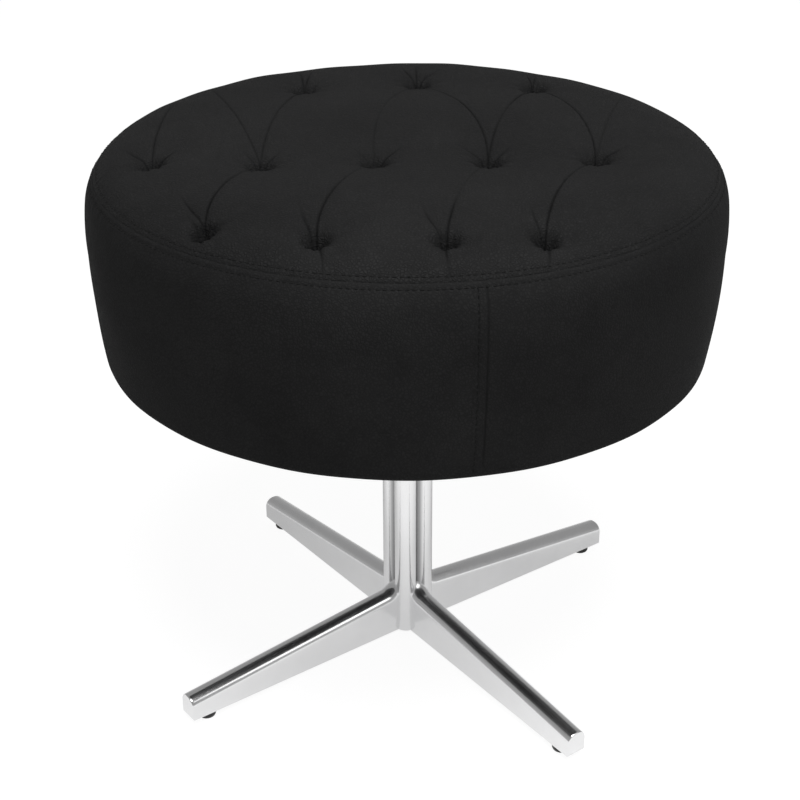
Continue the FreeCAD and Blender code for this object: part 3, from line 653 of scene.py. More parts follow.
def grain_group():
    """Pebbled leather grain with fine pores and slack wrinkles."""
    tree, n, given = new_group("leather_grain", {"Pebbles": 620.0, "Wrinkles": 0.5}, ("Height", "Hollow"))
    vector = given["Vector"]
    warp = n.add("ShaderNodeTexNoise", {"Vector": vector, "Scale": 180.0, "Detail": 2.0})
    shift = n.add("ShaderNodeMixRGB", {"Fac": 0.004, "Color1": vector, "Color2": warp.outputs["Color"]},
                  blend_type="ADD")
    pebble = n.add("ShaderNodeTexVoronoi", {"Vector": shift.outputs[0], "Scale": given["Pebbles"]},
                   feature="DISTANCE_TO_EDGE")
    rise = n.add("ShaderNodeMapRange", {"Value": pebble.outputs["Distance"], "From Max": 0.28})
    rise = rise.outputs["Result"]
    pore = n.add("ShaderNodeTexNoise", {"Vector": vector, "Scale": 1900.0, "Detail": 3.0, "Roughness": 0.6})
    slack = n.add("ShaderNodeTexNoise", {"Vector": vector, "Scale": 210.0, "Detail": 4.0, "Roughness": 0.62})
    slack_part = n.calc("MULTIPLY", slack.outputs["Fac"], given["Wrinkles"])
    pore_part = n.calc("MULTIPLY", pore.outputs["Fac"], PORE_SHARE)
    height = n.calc("ADD", n.calc("ADD", rise, pore_part), slack_part)
    n.add("NodeGroupOutput", {"Height": height, "Hollow": n.calc("SUBTRACT", 1.0, rise)})
    return tree


def patches_group():
    """Large soft patches and small smudges, for colour and gloss that vary over a surface."""
    tree, n, given = new_group("soft_patches", {"Scale": 7.0, "Low": 0.0, "High": 1.0}, ("Value", "Mask"))
    vector, scale = given["Vector"], given["Scale"]
    broad = n.add("ShaderNodeTexNoise", {"Vector": vector, "Scale": scale, "Detail": 4.0, "Roughness": 0.55})
    small = n.add("ShaderNodeTexNoise", {"Vector": vector, "Scale": n.calc("MULTIPLY", scale, SMUDGE_SCALE),
                                         "Detail": 5.0, "Roughness": 0.65})
    both = n.calc("MULTIPLY_ADD", small.outputs["Fac"], SMUDGE_SHARE, broad.outputs["Fac"])
    seen = {"Value": both, "From Min": 0.5, "From Max": 0.9}
    mask = n.add("ShaderNodeMapRange", seen)
    spread = n.add("ShaderNodeMapRange", {**seen, "To Min": given["Low"], "To Max": given["High"]})
    n.add("NodeGroupOutput", {"Value": spread.outputs["Result"], "Mask": mask.outputs["Result"]})
    return tree


GRAIN = grain_group()
PATCHES = patches_group()


def new_material(name, metallic=0.0, specular=0.5):
    """A material with its own shader, and the coordinates that its patterns follow."""
    material = bpy.data.materials.new(name)
    n = fresh_nodes(material)
    shader = n.add("ShaderNodeBsdfPrincipled", {"Metallic": metallic, "Specular IOR Level": specular})
    n.add("ShaderNodeOutputMaterial", {"Surface": shader.outputs[0]})
    return material, n, shader, n.add("ShaderNodeTexCoord").outputs["Object"]


def add_patches(n, vector, scale, low, high):
    """Places the soft patches group with its own values."""
    values = {"Vector": vector, "Scale": scale, "Low": low, "High": high}
    return n.add("ShaderNodeGroup", values, node_tree=PATCHES).outputs


def two_tones(n, mask, dark, light):
    """A colour between two tones, led by a mask."""
    mix = n.add("ShaderNodeMix", {"Factor": mask, "A": (*dark, 1.0), "B": (*light, 1.0)}, data_type="RGBA")
    return [socket for socket in mix.outputs if socket.type == "RGBA"][0]


def shaded_towards(n, tone, share, deep):
    """A colour that goes over to a darker one by a share, as painted shade."""
    return n.add("ShaderNodeMixRGB", {"Fac": share, "Color1": tone, "Color2": (*deep, 1.0)}).outputs[0]


def painted_tuck_shade(n):
    """The painted shade of a surface where it is tucked in, as its mesh holds it."""
    return n.add("ShaderNodeAttribute", attribute_name="tuck_shade").outputs["Fac"]


def dress(n, shader, tone, roughness, height, strength, distance):
    """Gives a shader its colour, its roughness and its relief."""
    bump = n.add("ShaderNodeBump", {"Height": height, "Strength": strength, "Distance": distance})
    n.feed(shader.inputs["Base Color"], tone)
    n.feed(shader.inputs["Roughness"], roughness)
    n.feed(shader.inputs["Normal"], bump.outputs["Normal"])


def leather_material(name, dark, light, pebbles, wrinkles, relief, shine):
    """Matt black leather: fine pebbled grain, soft patches, painted shade in its tucks and in the grain's
    hollows, and duller tucks.
    """
    material, n, shader, vector = new_material(name, specular=shine)
    values = {"Vector": vector, "Pebbles": pebbles, "Wrinkles": wrinkles}
    grain = n.add("ShaderNodeGroup", values, node_tree=GRAIN).outputs
    patches = add_patches(n, vector, 9.0, 0.58, 0.72)
    tucked = painted_tuck_shade(n)
    # Painted shade: the tucks and the grain's hollows go over to a darker tone
    shade = n.calc("MULTIPLY", tucked, TUCK_SHADE)
    hollow = n.calc("MULTIPLY", grain["Hollow"], HOLLOW_SHADE)
    dim = n.calc("MAXIMUM", shade, hollow, use_clamp=True)
    tone = shaded_towards(n, two_tones(n, patches["Mask"], dark, light), dim, LEATHER_SHADE_TONE)
    dull = n.calc("MULTIPLY_ADD", tucked, TUCK_DULLNESS, patches["Value"])
    dress(n, shader, tone, dull, grain["Height"], relief, 0.0005)
    return material


def metal_material(name, dark, light, smoothness, relief, scale=14.0):
    """Bare or plated metal with faint smears in its gloss, and painted shade where it is tucked in."""
    material, n, shader, vector = new_material(name, metallic=1.0)
    patches = add_patches(n, vector, scale, *smoothness)
    tone = shaded_towards(n, two_tones(n, patches["Mask"], dark, light), painted_tuck_shade(n), METAL_SHADE_TONE)
    fine = n.add("ShaderNodeTexNoise", {"Vector": vector, "Scale": 900.0, "Detail": 2.0})
    dress(n, shader, tone, patches["Value"], fine.outputs["Fac"], relief, 0.00005)
    return material


def moulded_material(name, dark, light, roughness):
    """Moulded plastic with a fine spark-eroded texture."""
    material, n, shader, vector = new_material(name, specular=0.4)
    patches = add_patches(n, vector, 40.0, *roughness)
    speckle = n.add("ShaderNodeTexNoise", {"Vector": vector, "Scale": 2600.0, "Detail": 2.0}).outputs["Fac"]
    tone = two_tones(n, patches["Mask"], dark, light)
    dress(n, shader, tone, patches["Value"], speckle, 0.25, 0.0001)
    return material


def wood_material(name, dark, light, stretch):
    """Sawn wood whose grain runs along the axis with the smallest stretch."""
    material, n, shader, vector = new_material(name, specular=0.3)
    turn = n.add("ShaderNodeMapping", {"Vector": vector, "Scale": stretch})
    values = {"Vector": turn.outputs[0], "Scale": 60.0, "Detail": 6.0, "Roughness": 0.6, "Distortion": 0.6}
    fibres = n.add("ShaderNodeTexNoise", values).outputs["Fac"]
    rough = n.add("ShaderNodeMapRange", {"Value": fibres, "To Min": 0.55, "To Max": 0.8})
    dress(n, shader, two_tones(n, fibres, dark, light), rough.outputs["Result"], fibres, 0.3, 0.0004)
    return material


def cloth_material(name, dark, light, threads):
    """Plain woven cloth or twisted thread."""
    material, n, shader, vector = new_material(name, specular=0.2)
    values = {"Vector": vector, "Scale": threads, "Distortion": 0.4}
    waves = [n.add("ShaderNodeTexWave", values, bands_direction=axis).outputs["Fac"] for axis in "XY"]
    weave = n.calc("MULTIPLY", *waves)
    patches = add_patches(n, vector, 16.0, 0.78, 0.92)
    tone = two_tones(n, n.calc("MULTIPLY", weave, patches["Mask"]), dark, light)
    dress(n, shader, tone, patches["Value"], weave, 0.5, 0.0002)
    return material


MATERIALS = {
    "black_leather": leather_material(
        "black_leather", (0.0181, 0.0181, 0.0183), (0.0262, 0.0262, 0.0264),
        pebbles=430.0, wrinkles=1.6, relief=0.9, shine=0.03),
    "side_leather": leather_material(
        "side_leather", (0.0184, 0.0184, 0.0186), (0.0260, 0.0260, 0.0262),
        pebbles=430.0, wrinkles=0.8, relief=0.45, shine=0.012),
    # The buttons get a darker copy of the leather, painted shade at the foot of the pits
    "button_leather_in_shade": leather_material(
        "button_leather_in_shade", (0.008, 0.008, 0.0082), (0.012, 0.012, 0.0122),
        pebbles=900.0, wrinkles=0.4, relief=0.6, shine=0.03),
    "thread": cloth_material("black_thread", (0.003, 0.003, 0.003), (0.008, 0.008, 0.008), 1400.0),
    "rim_thread": cloth_material("rim_thread", (0.007, 0.007, 0.007), (0.013, 0.013, 0.013), 1400.0),
    "chrome": metal_material("chrome", (0.80, 0.80, 0.805), (0.86, 0.86, 0.865), (0.14, 0.23), 0.015),
    "steel": metal_material("zinc_steel", (0.42, 0.43, 0.44), (0.58, 0.59, 0.60), (0.28, 0.45), 0.1, 30.0),
    "brass": metal_material("brass", (0.55, 0.42, 0.20), (0.70, 0.55, 0.28), (0.25, 0.4), 0.08, 30.0),
    "black_steel": metal_material(
        "black_steel", (0.03, 0.03, 0.032), (0.06, 0.06, 0.062), (0.4, 0.6), 0.15, 25.0),
    "black_plastic": moulded_material(
        "black_plastic", (0.012, 0.012, 0.012), (0.022, 0.022, 0.022), (0.38, 0.55)),
    "nylon": moulded_material("nylon", (0.55, 0.54, 0.50), (0.68, 0.67, 0.63), (0.42, 0.55)),
    "plywood": wood_material("plywood", (0.32, 0.21, 0.12), (0.52, 0.38, 0.24), (1.0, 14.0, 30.0)),
    "stained_board": wood_material(
        "stained_board", (0.010, 0.009, 0.008), (0.024, 0.021, 0.018), (1.0, 14.0, 30.0)),
    "timber": wood_material("timber", (0.40, 0.27, 0.15), (0.60, 0.44, 0.27), (14.0, 14.0, 1.0)),
    "black_cloth": cloth_material("black_cloth", (0.085, 0.085, 0.087), (0.19, 0.19, 0.194), 420.0),
    "twine": cloth_material("waxed_twine", (0.30, 0.27, 0.22), (0.52, 0.48, 0.40), 1200.0),
}

NODE_FINISHES = {
    "steel": ("bearing_tube", "bearing_lower_race", "bearing_balls", "bearing_upper_race", "spindle",
              "spindle_washer", "spindle_clip", "plate_bolts", "plate_washers", "plate_nuts",
              "frame_screws", "staples"),
    "brass": ("bearing_cage",),
    "black_steel": ("spindle_hub", "mounting_plate"),
    "black_plastic": ("column_plug",),
    "nylon": ("foot_blocks", "lower_bush", "upper_bush", "twine_anchors"),
    "stained_board": ("base_board",),
    "plywood": ("side_hoop", "top_board"),
    "timber": ("frame_posts",),
    "twine": ("tuft_twines",),
}


# Geometry node trees

def new_tree(name, inputs):
    """A geometry tree with named inputs, and the identifier of each."""
    tree = bpy.data.node_groups.new(name, "GeometryNodeTree")
    tree.is_modifier = True
    tree.interface.new_socket("Geometry", in_out="INPUT", socket_type="NodeSocketGeometry")
    keys = {}
    for label, kind in inputs.items():
        keys[label] = tree.interface.new_socket(label, in_out="INPUT", socket_type=kind).identifier
    tree.interface.new_socket("Geometry", in_out="OUTPUT", socket_type="NodeSocketGeometry")
    n = Nodes(tree)
    return tree, keys, n, n.add("NodeGroupInput").outputs


def close_tree(n, given, spots, piece, turn):
    """Sets a turned piece at each spot, and ends the tree in plain geometry with its material."""
    copies = n.add("GeometryNodeInstanceOnPoints", {"Points": spots, "Instance": piece, "Rotation": turn})
    real = n.add("GeometryNodeRealizeInstances", {"Geometry": copies.outputs["Instances"]})
    values = {"Geometry": real.outputs["Geometry"], "Material": given["Material"]}
    finish = n.add("GeometryNodeSetMaterial", values)
    n.add("NodeGroupOutput", {"Geometry": finish.outputs["Geometry"]})


def around_tree():
    """Copies a piece round the column."""
    tree, keys, n, given = new_tree("around_column", {
        "Count": "NodeSocketInt", "First": "NodeSocketFloat", "Material": "NodeSocketMaterial"})
    line = n.add("GeometryNodeMeshLine", {"Count": given["Count"], "Offset": (0.0, 0.0, 0.0)})
    index = n.add("GeometryNodeInputIndex").outputs[0]
    step = n.calc("DIVIDE", 2 * math.pi, given["Count"])
    turn = n.add("ShaderNodeCombineXYZ", {"Z": n.calc("MULTIPLY_ADD", index, step, given["First"])})
    close_tree(n, given, line.outputs["Mesh"], given["Geometry"], turn.outputs[0])
    return tree, keys


def stitch_tree():
    """Lays stitches along a path, square to the cover they hold."""
    tree, keys, n, given = new_tree("stitch_row", {
        "Pitch": "NodeSocketFloat", "Stitch": "NodeSocketObject", "Material": "NodeSocketMaterial"})
    curve = n.add("GeometryNodeMeshToCurve", {"Mesh": given["Geometry"]}).outputs["Curve"]
    spaced = n.add("GeometryNodeResampleCurve", {"Curve": curve, "Length": given["Pitch"]}, mode="LENGTH")
    stitch = n.add("GeometryNodeObjectInfo", {"Object": given["Stitch"]})
    tangent = n.add("GeometryNodeInputTangent").outputs[0]
    outward = n.add("GeometryNodeInputNamedAttribute", {"Name": "outward"}, data_type="FLOAT_VECTOR")
    lie = n.add("FunctionNodeAlignRotationToVector", {"Vector": tangent}, axis="X")
    values = {"Rotation": lie.outputs[0], "Vector": outward.outputs["Attribute"]}
    roll = n.add("FunctionNodeAlignRotationToVector", values, axis="Z", pivot_axis="X")
    close_tree(n, given, spaced.outputs["Curve"], stitch.outputs["Geometry"], roll.outputs[0])
    return tree, keys


def button_tree():
    """Sets a button at each tuft, each turned its own way."""
    tree, keys, n, given = new_tree("button_set", {
        "Button": "NodeSocketObject", "Seed": "NodeSocketInt", "Material": "NodeSocketMaterial"})
    button = n.add("GeometryNodeObjectInfo", {"Object": given["Button"]})
    angle = n.add("FunctionNodeRandomValue", {3: 2 * math.pi, "Seed": given["Seed"]}, data_type="FLOAT")
    turn = n.add("ShaderNodeCombineXYZ", {"Z": angle.outputs[1]})
    close_tree(n, given, given["Geometry"], button.outputs["Geometry"], turn.outputs[0])
    return tree, keys


def grown(name, mesh, pattern, values, sharp=None):
    """Runs a geometry tree on a mesh and keeps the result as a plain mesh."""
    tree, keys = pattern
    host = new_object(name + "_pattern", mesh)
    modifier = host.modifiers.new("pattern", "NODES")
    modifier.node_group = tree
    for label, value in values.items():
        modifier[keys[label]] = value
    bpy.context.view_layer.update()
    made = bpy.data.meshes.new_from_object(host.evaluated_get(bpy.context.evaluated_depsgraph_get()))
    host.modifiers.remove(modifier)
    bpy.data.objects.remove(host)
    made.name = name
    made.polygons.foreach_set("use_smooth", [True] * len(made.polygons))
    if sharp is not None:
        made.set_sharp_from_angle(angle=math.radians(sharp))
    return new_object(name, made)


AROUND = around_tree()
STITCHES = stitch_tree()
BUTTONS = button_tree()


# Chrome base

def lobed_outline(per_lobe, per_groove):
    """The column's outline: round lobes joined by small hollow fillets, with the lobes between the legs."""
    axis = LOBE_OFFSET * math.cos(math.radians(LEG_SPACING / 2))
    reach = axis + math.sqrt((LOBE_RADIUS + GROOVE_FILLET) ** 2 - axis ** 2)
    lean = math.degrees(math.atan2(axis, reach - axis))
    half = lean + LEG_SPACING / 2
    outline = []
    for k in range(LEG_COUNT):
        lobe = math.radians(LEG_TURN + LEG_SPACING / 2 + LEG_SPACING * k)
        groove = math.radians(LEG_TURN + LEG_SPACING + LEG_SPACING * k)
        for a in np.linspace(-half, half, per_lobe):
            way = lobe + math.radians(a)
            outline.append((LOBE_OFFSET * math.cos(lobe) + LOBE_RADIUS * math.cos(way),
                            LOBE_OFFSET * math.sin(lobe) + LOBE_RADIUS * math.sin(way)))
        for a in np.linspace(180.0 + lean, 180.0 - lean, per_groove + 2)[1:-1]:
            way = groove + math.radians(a)
            outline.append((reach * math.cos(groove) + GROOVE_FILLET * math.cos(way),
                            reach * math.sin(groove) + GROOVE_FILLET * math.sin(way)))
    return np.array(outline)


def bore_radius(azimuth):
    """The column's hollow: a round bore with a hollow in each lobe."""
    lean = (azimuth - math.radians(LEG_TURN)) % (math.pi / 2) - math.pi / 4
    lobe = LOBE_RADIUS - COLUMN_WALL
    inside = lobe ** 2 - (LOBE_OFFSET * np.sin(lean)) ** 2
    reach = LOBE_OFFSET * np.cos(lean) + np.sqrt(np.maximum(inside, 0.0))
    return np.maximum(COLUMN_BORE, np.where(inside > 0, reach, 0.0))


def column_mesh():
    """The lobed column with eased ends and its hollow."""
    outline = lobed_outline(per_lobe=33, per_groove=9)
    azimuth = np.arctan2(outline[:, 1], outline[:, 0])
    out = np.hypot(outline[:, 0], outline[:, 1])
    hollow = bore_radius(azimuth)
    levels = [(out - COLUMN_EDGE, COLUMN_FOOT_Z), (out, COLUMN_FOOT_Z + COLUMN_EDGE)]
    levels += [(out, z) for z in np.linspace(COLUMN_FOOT_Z + COLUMN_END, COLUMN_TOP_Z - COLUMN_END, 6)]
    levels += [(out, COLUMN_TOP_Z - COLUMN_EDGE), (out - COLUMN_EDGE, COLUMN_TOP_Z)]
    levels += [(hollow, COLUMN_TOP_Z), (hollow, COLUMN_FOOT_Z)]
    rings = [around(r, azimuth, z) for r, z in levels]
    faces = net_faces(len(outline), len(levels), wrap_columns=True, wrap_rows=True)
    mesh = new_mesh("column", np.concatenate(rings), faces, COLUMN_SHARP)
    # The grooves between the lobes get painted shade, strongest at their middles
    aside = np.abs((azimuth - math.radians(LEG_TURN) + math.pi / 4) % (math.pi / 2) - math.pi / 4)
    shade = GROOVE_SHADE * (1 - smooth(aside * out, *GROOVE_SHADE_REACH))
    set_attribute(mesh, "tuck_shade", np.tile(shade, len(levels)))
    return mesh


def ridge_z(reach):
    """Height of a leg's straight ridge."""
    slope = (RIDGE_ROOT_Z - RIDGE_TIP_Z) / (LEG_TIP - ROOT_REACH)
    return RIDGE_ROOT_Z - slope * (reach - ROOT_REACH), math.atan(slope)


def underside_z(reach):
    """Height of a leg's lower edges."""
    slope = (UNDERSIDE_ROOT_Z - UNDERSIDE_TIP_Z) / (LEG_TIP - ROOT_REACH)
    return UNDERSIDE_ROOT_Z - slope * max(reach - ROOT_REACH, 0.0)


def leg_stations():
    """Reach, ridge height and inset along a leg, from the sweep up the column to the tip."""
    centre = SWEEP_START + SWEEP_RADIUS
    _, lean = ridge_z(centre)
    touch = centre - SWEEP_RADIUS * math.sin(lean)
    rise = ridge_z(touch)[0] + SWEEP_RADIUS * math.cos(lean)
    stations = []
    for turn in np.linspace(0.0, math.pi / 2 - lean, SWEEP_RINGS):
        stations.append((centre - SWEEP_RADIUS * math.cos(turn), rise - SWEEP_RADIUS * math.sin(turn), 0.0))
    for reach in (*LEG_RINGS, LEG_TIP - LEG_WALL, LEG_TIP - TIP_EDGE):
        stations.append((reach, ridge_z(reach)[0], 0.0))
    for turn in (30.0, 60.0, 90.0):
        reach = LEG_TIP - TIP_EDGE * (1 - math.sin(math.radians(turn)))
        stations.append((reach, ridge_z(reach)[0], TIP_EDGE * (1 - math.cos(math.radians(turn)))))
    return stations


def arch_points(reach, top, bottom, inset):
    """A leg's section: two upright sides joined by a rounded ridge, from one lower edge to the other."""
    half = LEG_HALF - inset
    turn = RIDGE_ROUND - inset
    top = top - inset
    flat = half - turn
    points = [(reach, half, bottom)]
    for a in np.radians(np.linspace(0.0, 90.0, RIDGE_POINTS)):
        points.append((reach, flat + turn * math.cos(a), top - turn + turn * math.sin(a)))
    mirrored = [(x, -y, z) for x, y, z in reversed(points)]
    return points + mirrored


def leg_mesh():
    """One leg along +X: an inverted channel, open below, closed at its tip and swept up into its groove."""
    stations = leg_stations()
    closed = [k for k, s in enumerate(stations) if s[0] <= LEG_TIP - LEG_WALL + 1e-6][-1]
    outer = [arch_points(r, top, underside_z(r) + inset, inset) for r, top, inset in stations]
    inner = [arch_points(r, ridge_z(r)[0], underside_z(r), LEG_WALL) for r, _, _ in stations[:closed + 1]]
    width = len(outer[0])
    points = [p for ring in outer for p in ring] + [p for ring in inner for p in ring]
    base = width * len(outer)
    faces = net_faces(width - 1, len(outer) - 1)
    faces += [face[::-1] for face in net_faces(width - 1, len(inner) - 1, start=base)]
    for k in range(closed):
        a, b = k * width, (k + 1) * width
        c, d = base + a, base + b
        faces.append([a, b, d, c])
        faces.append([b + width - 1, a + width - 1, c + width - 1, d + width - 1])
    a, c = closed * width, base + closed * width
    lower = [k * width for k in range(closed, len(outer))]
    faces.append([a] + lower[1:] + [k + width - 1 for k in reversed(lower)] + [c + width - 1, c])
    faces.append([c + k for k in reversed(range(width))])
    last = width * (len(outer) - 1)
    faces.append([last + k for k in range(width)])
    for k in range(width - 1):
        faces.append([k + 1, k, base + k, base + k + 1])
    return new_mesh("leg", points, [face[::-1] for face in faces], LEG_SHARP)


def glide_mesh():
    """One glide with its rounded foot, its shoulder and the stem in the leg."""
    mesh = turned_mesh("glide", GLIDE_SECTION, count=40, sharp=GLIDE_SHARP)
    mesh.transform(Matrix.Translation((GLIDE_REACH * MM, 0.0, 0.0)))
    return mesh


def build_base():
    """The chrome column, the legs and the glides."""
    place(new_object("column", column_mesh()), MATERIALS["chrome"], "base", "chrome", "column_tube")
    values = {"Count": LEG_COUNT, "First": math.radians(LEG_TURN), "Material": MATERIALS["chrome"]}
    legs = grown("legs", leg_mesh(), AROUND, values, LEG_SHARP)
    place(legs, None, "base", "chrome", "leg_1", "leg_2", "leg_3", "leg_4")
    values["Material"] = MATERIALS["black_plastic"]
    glides = grown("glides", glide_mesh(), AROUND, values, GLIDE_SHARP)
    place(glides, None, "base", "black_plastic", "glide_1", "glide_2", "glide_3", "glide_4")


# Upholstery

def swell(columns, rows):
    """How far the cover moves off its first shape when it is blown up between its tufts and its seam."""
    x, y = disc_places(columns, rows)
    points, _ = top_surface(x, y, fine=False)
    mesh = new_mesh("cover_trial", points, net_faces(columns, rows))
    trial = new_object("cover_trial", mesh)
    held = trial.vertex_groups.new(name="held")
    hold = smooth(np.hypot(x, y), *(TOP_LENGTH - inset for inset in SWELL_HELD_RIM))
    for tx, ty, _ in FLAT_TUFTS.values():
        hold = np.maximum(hold, 1 - smooth(np.hypot(x - tx, y - ty), *SWELL_HELD_TUFT))
    for index in np.flatnonzero(hold > 0.01):
        held.add([int(index)], float(hold[index]), "REPLACE")
    cloth = trial.modifiers.new("cloth", "CLOTH")
    settings = cloth.settings
    settings.quality = 6
    settings.mass = 0.3
    settings.tension_stiffness = 18.0
    settings.compression_stiffness = 18.0
    settings.shear_stiffness = 8.0
    settings.bending_stiffness = 0.6
    settings.vertex_group_mass = "held"
    settings.use_pressure = True
    settings.uniform_pressure_force = 4.0
    settings.effector_weights.gravity = 0.0
    cloth.collision_settings.use_collision = False
    cloth.point_cache.frame_start = 1
    cloth.point_cache.frame_end = SWELL_FRAMES
    scene = bpy.context.scene
    for step in range(1, SWELL_FRAMES + 1):
        scene.frame_set(step)
    settled = trial.evaluated_get(bpy.context.evaluated_depsgraph_get())
    moved = np.zeros(len(points) * 3)
    settled.data.vertices.foreach_get("co", moved)
    moved = moved.reshape(-1, 3) / MM - points
    scene.frame_set(1)
    bpy.data.objects.remove(trial)
    bpy.data.meshes.remove(mesh)
    far = np.linalg.norm(moved, axis=1)
    kept = moved * (np.minimum(far, SWELL_LIMIT) / np.maximum(far, 1e-6))[:, None]
    return kept.reshape(rows + 1, columns + 1, 3)


def finer(field, columns, rows):
    """A field on a coarse net read on a finer one."""
    coarse_rows, coarse_columns = field.shape[0] - 1, field.shape[1] - 1
    i, j = np.meshgrid(np.linspace(0, coarse_columns, columns + 1), np.linspace(0, coarse_rows, rows + 1))
    i0 = np.minimum(i.astype(int), coarse_columns - 1)
    j0 = np.minimum(j.astype(int), coarse_rows - 1)
    fi = (i - i0)[..., None]
    fj = (j - j0)[..., None]
    upper = field[j0, i0] * (1 - fi) + field[j0, i0 + 1] * fi
    lower = field[j0 + 1, i0] * (1 - fi) + field[j0 + 1, i0 + 1] * fi
    return (upper * (1 - fj) + lower * fj).reshape(-1, 3)


def rim_loop(columns, rows):
    """The points round the edge of a net, in order."""
    width = columns + 1
    front = list(range(columns))
    right = [width * j + columns for j in range(rows)]
    back = [width * rows + i for i in range(columns, 0, -1)]
    left = [width * j for j in range(rows, 0, -1)]
    return front + right + back + left


def top_mesh():
    """The tufted top as one closed pad, flat where it lies on its board."""
    x, y = disc_places(TOP_COLUMNS, TOP_ROWS)
    points, tuck_shade = top_surface(x, y)
    points = points + finer(swell(SWELL_COLUMNS, SWELL_ROWS), TOP_COLUMNS, TOP_ROWS)
    faces = net_faces(TOP_COLUMNS, TOP_ROWS)
    loop = np.array(rim_loop(TOP_COLUMNS, TOP_ROWS))
    azimuth = np.arctan2(y[loop], x[loop])
    back = [(248.2, 457.6), (244.5, 454.2), (241.5, 450.4), (TOP_BACK, 445.0),
            (TOP_BACK, TOP_UNDERSIDE_Z + TOP_BACK_EDGE), (TOP_BACK - TOP_BACK_EDGE, TOP_UNDERSIDE_Z),
            (TOP_BACK_INNER, TOP_UNDERSIDE_Z)]
    parts = [points]
    above = loop
    total = len(points)
    count = len(loop)
    for radius, height in back:
        parts.append(around(radius, azimuth, height))
        ring = np.arange(total, total + count)
        after = np.roll(np.arange(count), -1)
        faces += np.stack([above, ring, ring[after], above[after]], axis=1).tolist()
        above = ring
        total += count
    parts.append(np.array([[0.0, 0.0, TOP_UNDERSIDE_Z]]))
    faces += [[int(above[k]), total, int(above[(k + 1) % count])] for k in range(count)]
    mesh = new_mesh("tufted_top", np.concatenate(parts), faces)
    # Everything below the top's rim, its back and underside, is painted fully in shade
    set_attribute(mesh, "tuck_shade", np.concatenate([tuck_shade, np.ones(total + 1 - len(tuck_shade))]))
    return mesh


CORNER_TURN = (LOW[0] - (LOW[0] - CORNER[0]) * ARC_MIDDLE, CORNER[1] + (LOW[1] - CORNER[1]) * ARC_MIDDLE)
SIDE_LINE = [HEM, CORNER]
SIDE_LINE += three_point_arc(CORNER, CORNER_TURN, LOW, 10)
SIDE_LINE += three_point_arc(LOW, MIDDLE, WIDEST, 40)
SIDE_LINE += three_point_arc(WIDEST, BULGE, ROLL_START, 12)
SIDE_LINE += three_point_arc(ROLL_START, ROLL, SEAM, 20)
SIDE_LENGTH = even_line(SIDE_LINE, np.zeros(1))[2]
HEM_LENGTH = CORNER[0] - HEM[0]


def side_places():
    """Distances along the side's section, close set at the corner and the seam."""
    runs = (
        (0.0, HEM_LENGTH - 6.0, 7),
        (HEM_LENGTH - 4.0, HEM_LENGTH + 18.0, 15),
        (HEM_LENGTH + 22.0, SIDE_LENGTH - 20.0, 28),
        (SIDE_LENGTH - 18.0, SIDE_LENGTH - 9.0, 9),
        (SIDE_LENGTH - 8.5, SIDE_LENGTH, 20),
    )
    return np.concatenate([np.linspace(*run) for run in runs])


def side_azimuths():
    """Directions round the side, close set at the upright seam."""
    near = np.linspace(-UPRIGHT_SPREAD, UPRIGHT_SPREAD, UPRIGHT_COLUMNS)
    far = np.linspace(UPRIGHT_SPREAD, 360.0 - UPRIGHT_SPREAD, SIDE_COLUMNS)[1:-1]
    return np.radians(UPRIGHT_SEAM + np.concatenate([near, far]))


def side_surface(along, azimuth):
    """Points of the side cover, their outward directions, and the painted shade of each where it is tucked
    in.
    """
    spots, normals, _ = even_line(SIDE_LINE, along)
    from_seam = SIDE_LENGTH - along
    upright = (azimuth - math.radians(UPRIGHT_SEAM) + math.pi) % (2 * math.pi) - math.pi
    across = upright * UPRIGHT_RADIUS
    shown = smooth(along, HEM_LENGTH - 8.0, HEM_LENGTH + 10.0)
    open_side = shown * smooth(from_seam, 3.0, 30.0)
    height = spots[:, 1]
    slack = SIDE_SLACK * np.sin(3 * azimuth + height / 41.0) * np.sin(height / 29.0 + 2 * azimuth)
    ripple = SIDE_RIPPLE * np.sin(11 * azimuth + height / 23.0 + 1.1) * np.sin(7 * azimuth - height / 35.0)
    lift = slack * open_side
    lift += ripple * open_side
    pucker = np.sin(171 * azimuth + 2.0 * np.sin(11 * azimuth)) + 0.7 * np.sin(103 * azimuth + 0.4)
    lift += PUCKER_HEIGHT * pucker * bell(from_seam, *PUCKER_RING)
    lift -= SEAM_GROOVE * bell(from_seam, SEAM_GROOVE_WIDTH)
    lift -= STITCH_GROOVE * bell(from_seam, STITCH_GROOVE_WIDTH, STITCH_INSET)
    folded = smooth(along, HEM_LENGTH + 6.0, HEM_LENGTH + 28.0) * smooth(from_seam, 1.5, 6.0)
    lift -= UPRIGHT_GROOVE * bell(across, UPRIGHT_WIDTH) * folded
    lift += LAP_HEIGHT * smooth(across, *LAP_RISE) * (1 - smooth(across, *LAP_FALL)) * folded
    lift += BESIDE_HEIGHT * bell(across, *BESIDE_RING) * folded
    lift -= LAP_STITCH_GROOVE * bell(across, STITCH_GROOVE_WIDTH, -LAP_STITCH) * folded
    wave = np.sin(height / 1.9 + 1.2 * np.sin(height / 9.0))
    lift += LAP_GATHER * wave * bell(across, *LAP_GATHER_RING) * folded
    # Painted shade along the seam and along the upright seam's fold
    tuck_shade = np.maximum(SEAM_TUCK * bell(from_seam, SEAM_TUCK_WIDTH),
                      UPRIGHT_TUCK * bell(across, UPRIGHT_WIDTH) * folded)
    points = around(spots[:, 0] + normals[:, 0] * lift, azimuth, height + normals[:, 1] * lift)
    return points, around(normals[:, 0], azimuth, normals[:, 1]), tuck_shade


